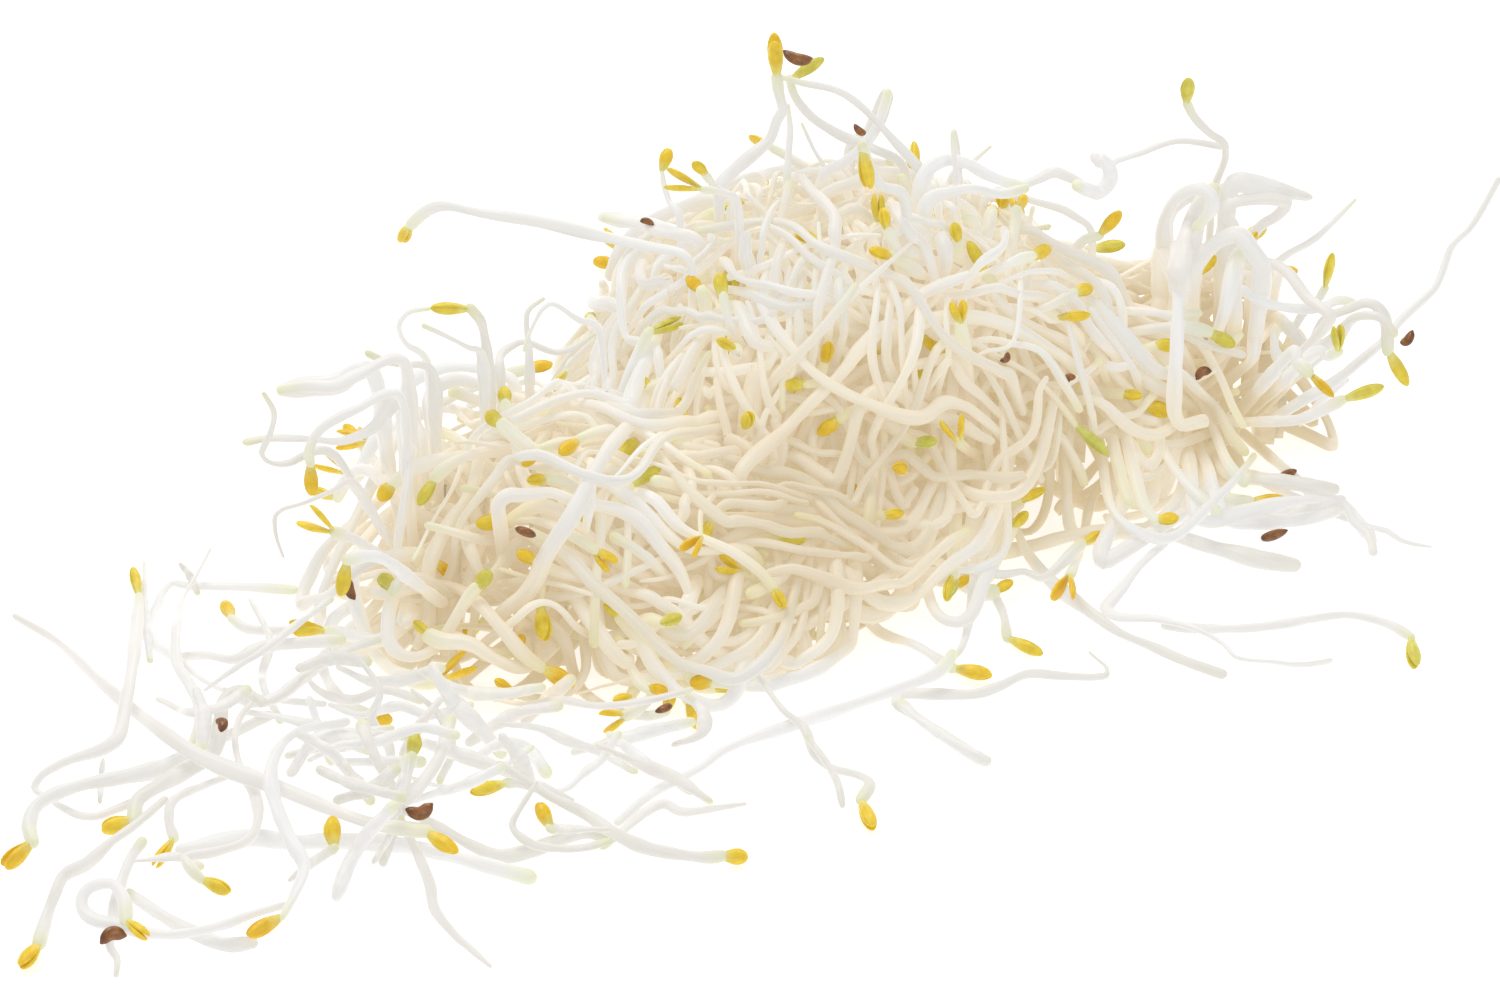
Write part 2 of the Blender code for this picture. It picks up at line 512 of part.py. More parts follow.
def face_sprout(neck_place, tip_place, rng):
    """The sprout behind cotyledons that show on the face of the heap."""
    lift = rng.uniform(0.3, 1.2)
    neck, tip = on_heap(neck_place, lift), on_heap(tip_place, lift + 0.3)
    line = grown(neck, neck - tip, rng.uniform(*SPROUT_LENGTHS), rng)
    width = STEM_WIDTH * rng.uniform(0.8, 1.05)
    return Sprout(line, widths(width, "sunk"), tip, np.zeros((KNOTS, 3)))


def back_sprout(number, rng):
    """A sprout on the side of the heap that the picture doesn't show."""
    names = ("crown", "crown", "left", "right")
    middle_x, middle_y, half_length, half_depth, _ = MOUNDS[names[number % len(names)]]
    around = math.radians(rng.uniform(15, 165))
    out = rng.uniform(0.45, 1.35)
    x = middle_x + half_length * out * math.cos(around)
    y = middle_y + half_depth * out * math.sin(around)
    lift = rng.uniform(0.8, 3.0) + (rng.uniform(0, 4) if number % 5 == 0 else 0)
    neck = np.array([x, y, float(heap_height(x, y)) + lift])
    facing = around + rng.uniform(-1.2, 1.2)
    ahead = np.array([math.cos(facing), math.sin(facing), rng.uniform(-0.3, 0.4)])
    line = grown(neck, -ahead, rng.uniform(*SPROUT_LENGTHS), rng)
    tip = neck + ahead / np.linalg.norm(ahead) * COTYLEDON_LENGTH
    tip[2] = max(tip[2], COTYLEDON_THICKNESS / 2)
    width = STEM_WIDTH * rng.uniform(0.8, 1.05)
    return Sprout(line, widths(width, "sunk"), tip, np.zeros((KNOTS, 3)))


def close_pairs(points, owner, reach):
    """Pairs of points of different sprouts that are nearer than reach to each other."""
    cell = np.floor(points / reach).astype(np.int64)
    cell -= cell.min(0) - 1
    spans = cell.max(0) + 2
    key = (cell[:, 0] * spans[1] + cell[:, 1]) * spans[2] + cell[:, 2]
    order = np.argsort(key, kind="stable")
    ranked = key[order]
    found = []
    for offset in np.ndindex(3, 3, 3):
        dx, dy, dz = np.array(offset) - 1
        wanted = key + (dx * spans[1] + dy) * spans[2] + dz
        low = np.searchsorted(ranked, wanted, "left")
        count = np.searchsorted(ranked, wanted, "right") - low
        first = np.repeat(np.arange(len(points)), count)
        within = np.arange(count.sum()) - np.repeat(np.cumsum(count) - count, count)
        second = order[np.repeat(low, count) + within]
        keep = (first < second) & (owner[first] != owner[second])
        found.append((first[keep], second[keep]))
    first = np.concatenate([pair[0] for pair in found])
    second = np.concatenate([pair[1] for pair in found])
    near = np.linalg.norm(points[first] - points[second], axis=1) < reach
    return first[near], second[near]


def with_head(sprout):
    """The sprout's line and half widths, carried on through its cotyledons."""
    neck = sprout.line[-1]
    ahead = np.zeros(3) if sprout.tip is None else sprout.tip - neck
    half = ROOT_TIP_WIDTH / 2 if sprout.tip is None else COTYLEDON_WIDTH / 2
    beyond = [neck + ahead * share for share in HEAD_KNOTS]
    return np.vstack([sprout.line, beyond]), np.append(sprout.radius, [half] * len(beyond))


def pushes(points, sight, owner, first, second, radius):
    """How far each pair of points has to be moved apart, half of it for each.

    Points of sprouts traced from the picture are pushed along the line of sight, and one
    sprout of a pair goes over the other for all of its length.
    """
    apart = points[second] - points[first]
    room = radius[first] + radius[second] + CLEARANCE
    distance = np.maximum(np.linalg.norm(apart, axis=1), 0.01)
    straight = np.clip(room - distance, 0, None) / distance
    line = sight[first] + sight[second]
    span = np.linalg.norm(line, axis=1)
    line = line / np.maximum(span, 0.01)[:, None]
    along = (apart * line).sum(1)
    aside = distance**2 - along**2
    pair = owner[first] * (owner[-1] + 1) + owner[second]
    _, group = np.unique(pair, return_inverse=True)
    lean = np.bincount(group, along)[group] + 0.01
    over = np.where(lean > 0, 1, -1)
    needed = np.sqrt(np.clip(room**2 - aside, 0, None)) - along * over
    sidelong = np.clip(needed, 0, 0.8) * over
    return 0.5 * np.where(span[:, None] > 0.5, line * sidelong[:, None],
                          apart * straight[:, None])


def ease_apart(sprouts):
    """Moves sprouts that cross until they pass over and under each other, clear.

    A sprout traced from the picture moves only along the lines of sight, so that it still
    shows where it did. No sprout goes below the surface, and ends in the core stay there.
    """
    start = np.stack([with_head(sprout)[0] for sprout in sprouts])
    radius = np.stack([with_head(sprout)[1] for sprout in sprouts])
    held = np.stack([np.vstack([s.held, [s.held[-1]] * len(HEAD_KNOTS)]) for s in sprouts])
    owner = np.repeat(np.arange(len(sprouts)), start.shape[1])
    reach = 2 * radius.max() + CLEARANCE
    is_held = (np.abs(held).sum(2, keepdims=True) > 0) * 1.0
    sight = held.reshape(-1, 3)
    is_free = np.array([[[not in_core(point)] for point in line] for line in start])
    shift = np.zeros_like(start)
    for _ in range(EASING_ROUNDS):
        points = (start + shift).reshape(-1, 3)
        first, second = close_pairs(points, owner, reach)
        push = pushes(points, sight, owner, first, second, radius.ravel())
        moved = np.zeros_like(points)
        np.add.at(moved, first, -push)
        np.add.at(moved, second, push)
        shift = shift + np.clip(moved.reshape(shift.shape), -0.5, 0.5)
        along = (shift * held).sum(2, keepdims=True) * held
        shift = along * is_held + shift * (1 - is_held)
        inner = 0.25 * shift[:, :-2] + 0.5 * shift[:, 1:-1] + 0.25 * shift[:, 2:]
        shift[:, 1:-1] = inner
        shift[:, 0] = 0.5 * (shift[:, 0] + shift[:, 1])
        shift[:, -1] = 0.5 * (shift[:, -1] + shift[:, -2])
        too_low = radius + 0.05 - (start + shift)[:, :, 2]
        shift[:, :, 2] += np.clip(too_low, 0, None)
        shift = shift * is_free
    eased = []
    for sprout, points in zip(sprouts, start + shift):
        line = points[:KNOTS]
        tip = None
        if sprout.tip is not None:
            tip = line[-1] + (points[-1] - line[-1]) / HEAD_KNOTS[-1]
            tip[2] = max(tip[2], COTYLEDON_THICKNESS / 2 + 0.05)
        eased.append(sprout._replace(line=line, tip=tip))
    return eased


def middle_of(sprouts):
    """The x and y of the middle of the box round the sprouts."""
    low = np.min([np.min(s.line[:, :2] - s.radius[:, None], 0) for s in sprouts], 0)
    high = np.max([np.max(s.line[:, :2] + s.radius[:, None], 0) for s in sprouts], 0)
    tips = np.array([s.tip[:2] for s in sprouts if s.tip is not None])
    return np.array([*(np.minimum(low, tips.min(0)) + np.maximum(high, tips.max(0))) / 2, 0])


def collection(name):
    made = bpy.data.collections.new(name)
    bpy.context.scene.collection.children.link(made)
    return made


def material(name, colour, roughness):
    made = bpy.data.materials.new(name)
    made.use_nodes = True
    shader = made.node_tree.nodes["Principled BSDF"]
    shader.inputs["Base Color"].default_value = colour
    shader.inputs["Roughness"].default_value = roughness
    made.diffuse_color = colour
    return made


def meshed(obj):
    """The object's evaluated mesh as a plain mesh object, with a curve's caps welded on."""
    bpy.context.view_layer.update()
    evaluated = obj.evaluated_get(bpy.context.evaluated_depsgraph_get())
    mesh = bpy.data.meshes.new_from_object(evaluated)
    if obj.type == "CURVE":
        shape = bmesh.new()
        shape.from_mesh(mesh)
        bmesh.ops.remove_doubles(shape, verts=shape.verts, dist=CAP_WELD)
        shape.to_mesh(mesh)
        shape.free()
    name, home, place = obj.name, obj.users_collection[0], obj.matrix_world.copy()
    bpy.data.objects.remove(obj)
    made = bpy.data.objects.new(name, mesh)
    made.matrix_world = place
    home.objects.link(made)
    return made


def corners(line, tolerance):
    """The fewest knots that keep straight runs between them within tolerance of the line."""
    kept = [0, KNOTS - 1]
    while True:
        course = [np.interp(np.arange(KNOTS), kept, line[kept, axis]) for axis in range(3)]
        astray = np.linalg.norm(line - np.stack(course, 1), axis=1)
        if astray.max() < tolerance:
            return kept
        kept = sorted([*kept, int(astray.argmax())])


def clears(sprout, tolerance, others):
    """Whether the sprout, built with straight runs, stays clear of all the others."""
    kept = corners(sprout.line, tolerance)
    course = np.stack([np.interp(np.arange(KNOTS), kept, sprout.line[kept, axis])
                       for axis in range(3)], 1)
    for points, radius in map(with_head, others):
        gaps = np.linalg.norm(course[:, None] - points, axis=2) - sprout.radius[:, None] - radius
        if gaps.min() < LEAST_GAP:
            return False
    return True


def stem(name, sprout, home, tolerance, finish):
    """The white stem and root as a tapering tube with filled ends."""
    curve = bpy.data.curves.new(name, "CURVE")
    curve.dimensions = "3D"
    curve.bevel_depth = MM
    curve.bevel_resolution = 0
    curve.use_fill_caps = True
    line = curve.splines.new("POLY")
    picked = corners(sprout.line, tolerance)
    line.points.add(len(picked) - 1)
    for point, knot in zip(line.points, picked):
        point.co = (*(sprout.line[knot] * MM), 1)
        point.radius = sprout.radius[knot]
    curve.materials.append(finish)
    obj = bpy.data.objects.new(name, curve)
    home.objects.link(obj)
    return obj


def ovate(name, start, end, width, thickness, sides, rings, home, finish):
    """An egg-shaped leaf body from start to end, narrower at its start."""
    axis = Vector(end - start)
    side = axis.cross(Vector((0, 0, 1))) if abs(axis.normalized().z) < 0.95 else Vector((1, 0, 0))
    side.normalize()
    shape = bmesh.new()
    bmesh.ops.create_uvsphere(shape, u_segments=sides, v_segments=rings, radius=1)
    for vert in shape.verts:
        fullness = 0.82 + 0.25 * vert.co.z
        vert.co = Vector((vert.co.x * fullness * width / 2, vert.co.y * fullness * thickness / 2,
                          vert.co.z * axis.length / 2))
    mesh = bpy.data.meshes.new(name)
    shape.to_mesh(mesh)
    shape.free()
    mesh.materials.append(finish)
    up = axis.normalized()
    turn = Matrix((side, up.cross(side), up)).transposed().to_4x4()
    obj = bpy.data.objects.new(name, mesh)
    mesh.transform(Matrix.Diagonal((MM, MM, MM, 1)) @ Matrix.Translation(
        Vector((start + end) / 2)) @ turn)
    home.objects.link(obj)
    return obj


def connected(start):
    """All the vertices that edges join to a vertex, itself included."""
    found, waiting = {start}, [start]
    while waiting:
        for edge in waiting.pop().link_edges:
            for vert in edge.verts:
                if vert not in found:
                    found.add(vert)
                    waiting.append(vert)
    return found


def without_splinters(obj):
    """Takes out the tiny closed splinters that a union leaves where faces nearly meet."""
    shape = bmesh.new()
    shape.from_mesh(obj.data)
    top = max(shape.verts, key=lambda vert: vert.co.z)
    body = connected(top)
    bmesh.ops.delete(shape, geom=[vert for vert in shape.verts if vert not in body])
    shape.to_mesh(obj.data)
    shape.free()


def joined(base, pieces):
    """The base with every piece in the collection fused to it by one Boolean union."""
    union = base.modifiers.new("Union", "BOOLEAN")
    union.operation = "UNION"
    union.operand_type = "COLLECTION"
    union.collection = pieces
    union.solver = "MANIFOLD"
    fused = meshed(base)
    for piece in list(pieces.objects):
        bpy.data.objects.remove(piece)
    without_splinters(fused)


def core_mound(name, home, finish, middle):
    """The dense inside of one mound, smaller than the heap and cut flat underneath."""
    x, y, half_length, half_depth, height = MOUNDS[name]
    shape = bmesh.new()
    around, up = CORE_STEPS
    bmesh.ops.create_uvsphere(shape, u_segments=around, v_segments=up, radius=1)
    for vert in shape.verts:
        ripple = 1 + 0.06 * math.sin(5 * math.atan2(vert.co.y, vert.co.x) + x)
        vert.co = Vector((x - middle[0] + vert.co.x * half_length * CORE_SPAN * ripple,
                          y - middle[1] + vert.co.y * half_depth * CORE_SPAN * ripple,
                          vert.co.z * height * CORE_RISE)) * MM
    every = [*shape.verts, *shape.edges, *shape.faces]
    cut = bmesh.ops.bisect_plane(shape, geom=every, plane_co=(0, 0, 0), plane_no=(0, 0, -1),
                                 clear_outer=True)
    rim = [part for part in cut["geom_cut"] if isinstance(part, bmesh.types.BMEdge)]
    bmesh.ops.edgenet_fill(shape, edges=rim)
    bmesh.ops.recalc_face_normals(shape, faces=shape.faces)
    mesh = bpy.data.meshes.new(name)
    shape.to_mesh(mesh)
    shape.free()
    mesh.materials.append(finish)
    obj = bpy.data.objects.new(name, mesh)
    home.objects.link(obj)
    return obj


def add_head(name, sprout, home, finish, sides=6, rings=5, gap=0.0):
    """The folded pair of cotyledons from the top of the stem to the tip."""
    neck, tip = sprout.line[-1], sprout.tip
    along = (tip - neck) / np.linalg.norm(tip - neck)
    start = neck + along * gap
    length = max(np.linalg.norm(tip - neck), 0.75 * COTYLEDON_LENGTH)
    return ovate(name, start, neck + along * length, COTYLEDON_WIDTH, COTYLEDON_THICKNESS,
                 sides, rings, home, finish)


def build_tangle(sprouts, loose, parts, finish, middle):
    """The heap's middle: its core with every sprout that runs into it, as one solid."""
    pieces = collection("tangle_pieces")
    base = core_mound("crown", parts, finish, middle)
    base.name = "tangle"
    for name in CORE_MOUNDS[1:]:
        core_mound(name, pieces, finish, middle)
    for number, sprout in enumerate(sprouts):
        fits = [t for t in TANGLE_TOLERANCES if clears(sprout, t, loose)]
        tolerance = max(fits, default=TANGLE_TOLERANCES[-1])
        meshed(stem(f"run_{number}", sprout, pieces, tolerance, finish))
        if sprout.tip is not None:
            add_head(f"head_{number}", sprout, pieces, finish, 4, 4, gap=-0.5)
    joined(base, pieces)
    bpy.data.collections.remove(pieces)


def lay_out():
    """Every sprout in place: the loose ones, then those of the tangle."""
    head_rng = np.random.default_rng(HEAD_SEED)
    back_rng = np.random.default_rng(BACK_SEED)
    sprouts = [traced(seen) for seen in LOOSE.values()]
    sprouts += [traced(seen) for seen in TANGLED]
    sprouts += [face_sprout(neck, tip, head_rng) for neck, tip in FACE_HEADS]
    sprouts += [back_sprout(number, back_rng) for number in range(BACK_SPROUTS)]
    sprouts = ease_apart(sprouts)
    middle = middle_of(sprouts)
    moved = [s._replace(line=s.line - middle, tip=None if s.tip is None else s.tip - middle)
             for s in sprouts]
    return moved, middle


def main():
    for obj in list(bpy.data.objects):
        bpy.data.objects.remove(obj)
    parts = collection("alfalfa_sprouts")
    white = material("stem", STEM_COLOUR, 0.4)
    yellow = material("cotyledon", COTYLEDON_COLOUR, 0.45)
    brown = material("seed_coat", COAT_COLOUR, 0.35)
    sprouts, middle = lay_out()
    for name, sprout in zip(LOOSE, sprouts):
        stem(f"{name}_stem", sprout, parts, LOOSE_TOLERANCE, white)
        if sprout.tip is not None:
            add_head(f"{name}_cotyledons", sprout, parts, yellow, 8, 6, gap=0.3)
    build_tangle(sprouts[len(LOOSE):], sprouts[:len(LOOSE)], parts, white, middle)
    for name, (start, end, lift) in COATS.items():
        ends = on_heap(start, lift) - middle, on_heap(end, lift) - middle
        ovate(name, *ends, COAT_WIDTH, COAT_THICKNESS, 8, 6, parts, brown)


main()
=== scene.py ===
"""Alfalfa sprouts: a loose, tangled heap of them lying on a pale surface.

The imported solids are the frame. Every one of them is replaced here by a finer sprout on the
same middle line, and the heap is filled out with the many sprouts that the solids leave to
this script. The layout is the same as the solids', from the same named values.

Lengths are in millimetres until a mesh is made. +Z is up and the heap is seen along +Y.
"""

import math
from typing import NamedTuple

import bpy
import numpy as np
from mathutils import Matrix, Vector

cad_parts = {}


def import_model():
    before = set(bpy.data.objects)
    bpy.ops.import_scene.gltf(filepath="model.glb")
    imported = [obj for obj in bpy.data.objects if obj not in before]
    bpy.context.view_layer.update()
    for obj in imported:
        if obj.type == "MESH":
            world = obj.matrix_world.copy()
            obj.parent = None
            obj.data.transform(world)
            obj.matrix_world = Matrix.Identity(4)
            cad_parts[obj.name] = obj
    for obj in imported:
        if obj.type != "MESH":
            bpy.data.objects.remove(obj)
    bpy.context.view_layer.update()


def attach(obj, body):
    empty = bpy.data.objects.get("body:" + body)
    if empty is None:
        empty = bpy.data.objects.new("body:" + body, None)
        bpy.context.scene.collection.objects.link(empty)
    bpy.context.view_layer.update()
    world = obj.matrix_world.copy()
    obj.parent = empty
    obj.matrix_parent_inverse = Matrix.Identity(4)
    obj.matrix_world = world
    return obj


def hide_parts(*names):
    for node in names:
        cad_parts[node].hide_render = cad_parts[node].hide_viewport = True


MM = 0.001

# An ordinary alfalfa sprout.
STEM_WIDTH = 1.3
ROOT_TIP_WIDTH = 0.62
BLUNT_TIP_SHARE = 0.8
SPROUT_LENGTHS = (30.0, 44.0)
COTYLEDON_LENGTH = 3.3
COTYLEDON_WIDTH = 1.55
COTYLEDON_THICKNESS = 1.2
COAT_WIDTH = 1.3

# The mounds that make up the heap: centre x and y, half length, half depth, height.
MOUNDS = {
    "crown": (9, 25, 29, 20, 25),
    "left": (-20, 5, 17, 18, 15),
    "right": (38, 29, 16, 13, 15),
    "front": (-10, 4, 24, 14, 11.5),
    "tail": (-38, -22, 26, 22, 4),
}
MOUND_ROUNDNESS = 0.7
MOUND_BLEND = 4
CORE_MOUNDS = ("crown", "left", "right", "front")
CORE_SPAN = 0.8
CORE_RISE = 0.7

# The heap is laid out from a picture of it, 1500 by 1000 pixels. A place in the picture is
# (pixels to the right, pixels down), and these say how the picture was taken, and how far
# and how finely a line of sight is searched for the heap.
PICTURE_CENTRE = (750, 500)
PIXELS_PER_MM = 12.0
VIEW_ELEVATION = math.radians(38)
VIEW_DISTANCE = 347.0
AIM_HEIGHT = 12.0
SIGHT_SPAN = 110
SIGHT_STEPS = 900

# How sprouts are laid out and eased apart.
KNOTS = 30
HEAD_KNOTS = (0.4, 0.8)
CLEARANCE = 0.5
EASING_ROUNDS = 90
BACK_SEED = 11
BACK_SPROUTS = 27
HEAD_SEED = 5
HEART_SPAN = 0.55
HEART_RISE = 0.2
WELL_INSIDE = 0.8
WAYS_DOWN = np.linspace(0.1, 1, 19)
EDGE_HEIGHT = 5.0
LEAST_REST = 0.7

# Sprouts grown over the heap from their cotyledons, and the limits of one easing step.
GROWN_WAVES = (18, 34)
GROWN_TURNS = (0.04, 0.12)
GROWN_STRIDE = 0.75
TURN_HOME = 0.1
STEM_THICKNESSES = (0.8, 1.05)
MOST_PUSH = 0.8
MOST_MOVE = 0.5
LEAST_SPAN = 0.01


class Seen(NamedTuple):
    """A sprout whose route shows in the picture.

    route runs from the root end to the top of the stem, and tip is the far end of the
    cotyledons. lift is how high the two ends lie above the heap or the surface. depth, where
    it is given, is the y of the two ends of a sprout that stands clear of the heap. root is
    "tip" for a tapering root, "blunt" for a broken end and "sunk" for one inside the heap.
    top is "open" or "sunk". A sprout sunk at its start and open without cotyledons at its end
    has its root there.
    """

    width: float
    route: list
    tip: tuple = None
    lift: tuple = (0.7, 0.7)
    depth: tuple = None
    root: str = "tip"
    top: str = "open"


class Sprout(NamedTuple):
    """The middle line of a sprout as KNOTS points, its half width at each, and its tip."""

    line: np.ndarray
    radius: np.ndarray
    tip: np.ndarray
    held: np.ndarray


def lying(width, lift, route, tip=None, root="tip", top="open"):
    """A sprout that lies on the heap or the surface."""
    return Seen(width, route, tip, lift, None, root, top)


def clear(width, depth, route, tip=None, root="sunk", top="open"):
    """A sprout that stands clear of the heap."""
    return Seen(width, route, tip, depth=depth, root=root, top=top)


def woven(width, lift, route):
    """A sprout over the face of the heap, with both its ends inside it."""
    return Seen(width, route, None, lift, None, "sunk", "sunk")


# Sprouts that lie clear of the tangle, each a stem and its cotyledons.
LOOSE = {
    "far_left": lying(1.3, (0.6, 3.0), [(16, 617), (59, 643), (106, 687), (153, 725), (205, 759),
        (282, 789), (367, 822), (425, 831)], (456, 852)),
    "tall_left": lying(1.2, (0.6, 3.5), [(129, 804), (88, 817), (50, 800), (34, 786), (47, 772), (72, 759),
        (100, 750), (118, 737), (126, 700), (134, 655), (139, 598)], (132, 560)),
    "bent_left": lying(1.1, (0.8, 2.5), [(323, 704), (279, 700), (235, 693), (205, 681), (179, 661),
        (156, 645), (147, 631), (155, 610), (169, 585), (191, 586), (249, 587), (293, 590)]),
    "upright_left": lying(1.0, (1.5, 2.2), [(210, 550), (195, 578), (182, 600), (176, 628), (177, 663),
        (191, 687), (199, 716), (190, 748)]),
    "hooked_left": lying(1.3, (1.5, 0.9), [(268, 716), (215, 742), (182, 757), (158, 769), (117, 778),
        (82, 785), (53, 795), (35, 808), (29, 827), (33, 842)], (3, 867)),
    "coiled_left": lying(1.4, (2.0, 1.2), [(262, 702), (240, 690), (224, 700), (220, 725), (213, 752),
        (188, 770), (160, 785), (138, 800), (134, 820)], (101, 829)),
    "front_left": lying(1.2, (0.7, 0.9), [(164, 800), (135, 825), (111, 842), (88, 863), (65, 875),
        (56, 892), (47, 916), (39, 943)], (21, 967)),
    "short_left": lying(0.9, (0.6, 0.9), [(240, 772), (205, 785), (174, 800), (169, 820), (174, 838)],
        (154, 867)),
    "thick_left": lying(1.5, (0.8, 0.8), [(182, 850), (205, 847), (249, 838), (293, 842), (340, 841),
        (400, 845), (450, 856), (528, 877)], root="blunt"),
    "ringed": lying(1.2, (2.6, 0.9), [(345, 722), (299, 731), (276, 754), (271, 783), (279, 813),
        (293, 845), (304, 866), (295, 893), (283, 916)], (247, 936)),
    "looped": lying(1.1, (2.2, 0.8), [(250, 705), (240, 718), (235, 740), (241, 770), (254, 792),
        (258, 818), (248, 840), (215, 852), (187, 857), (190, 868), (201, 879)], (230, 892)),
    "front_root": lying(1.0, (0.5, 2.2), [(116, 975), (117, 959), (110, 946), (112, 925), (116, 900),
        (122, 880), (131, 858), (142, 842)]),
    "front_loop": lying(1.1, (0.6, 4.2), [(284, 905), (250, 915), (223, 925), (182, 934), (147, 933),
        (117, 925), (91, 918), (81, 902), (91, 887), (112, 884), (124, 900), (126, 920)], (148, 938)),
    "front_stub": lying(1.2, (0.7, 0.8), [(252, 943), (223, 944), (188, 930), (158, 913), (130, 894)],
        root="blunt"),
    "crossing_root": lying(1.2, (0.6, 3.0), [(337, 897), (352, 860), (366, 838), (390, 812), (420, 785),
        (440, 755), (450, 720)]),
    "long_root": lying(0.9, (0.5, 2.2), [(490, 966), (472, 950), (455, 935), (435, 910), (430, 885),
        (418, 855), (400, 820)]),
    "wavy_left": lying(1.2, (1.6, 2.2), [(182, 657), (205, 655), (235, 659), (264, 647), (300, 643),
        (340, 640)]),
    "bridge_left": lying(1.1, (0.7, 2.2), [(225, 692), (250, 703), (275, 698), (299, 681), (323, 663),
        (345, 652)]),
    "nodding": lying(0.9, (0.6, 2.4), [(290, 880), (307, 866), (322, 856), (334, 848)], (331, 818)),
    "dark_seeded": lying(1.2, (0.7, 3.4), [(383, 862), (396, 822), (404, 790), (408, 768), (411, 758)],
        (417, 734)),
    "front_bow": lying(1.2, (1.6, 0.8), [(398, 806), (439, 827), (471, 845), (501, 856), (530, 851),
        (551, 843), (585, 833), (612, 839)]),
    "front_hoop": lying(1.0, (2.4, 0.7), [(536, 784), (518, 812), (513, 828), (530, 843), (551, 848),
        (581, 848), (606, 842)]),
    "front_nod": lying(1.1, (1.2, 2.6), [(608, 830), (584, 829), (562, 829), (551, 828)], (538, 803)),
    "front_reach": lying(1.1, (3.0, 0.8), [(500, 764), (530, 783), (551, 797), (584, 813), (616, 834),
        (650, 849), (700, 857), (722, 856)], (748, 857)),
    "front_tuck": lying(1.0, (0.8, 3.0), [(572, 800), (548, 790), (525, 784), (507, 783)], (471, 792)),
    "budded": lying(0.9, (0.6, 1.6), [(745, 804), (717, 808), (683, 812), (664, 804), (644, 813),
        (627, 827), (604, 846)]),
    "long_front": lying(1.2, (0.6, 2.0), [(618, 822), (653, 793), (700, 768), (728, 748), (784, 728),
        (841, 709), (897, 689), (938, 672), (952, 655)]),
    "curled_front": lying(1.0, (2.0, 0.9), [(752, 668), (768, 690), (784, 711), (804, 728), (815, 754),
        (832, 768), (858, 775), (870, 784), (861, 800)], (873, 829)),
    "front_spur": lying(0.9, (0.6, 2.4), [(842, 804), (838, 785), (828, 765), (808, 738)], root="blunt"),
    "folded_right": lying(1.0, (0.6, 0.8), [(1090, 653), (1109, 671), (1097, 677), (1063, 676), (1028, 674),
        (1002, 685), (975, 694), (937, 694), (903, 694), (897, 703), (911, 713), (953, 740), (986, 761)]),
    "right_reach": lying(0.9, (0.7, 2.0), [(1165, 626), (1212, 629), (1262, 627), (1312, 619), (1350, 615),
        (1388, 624), (1411, 637)], (1415, 668), root="blunt"),
}

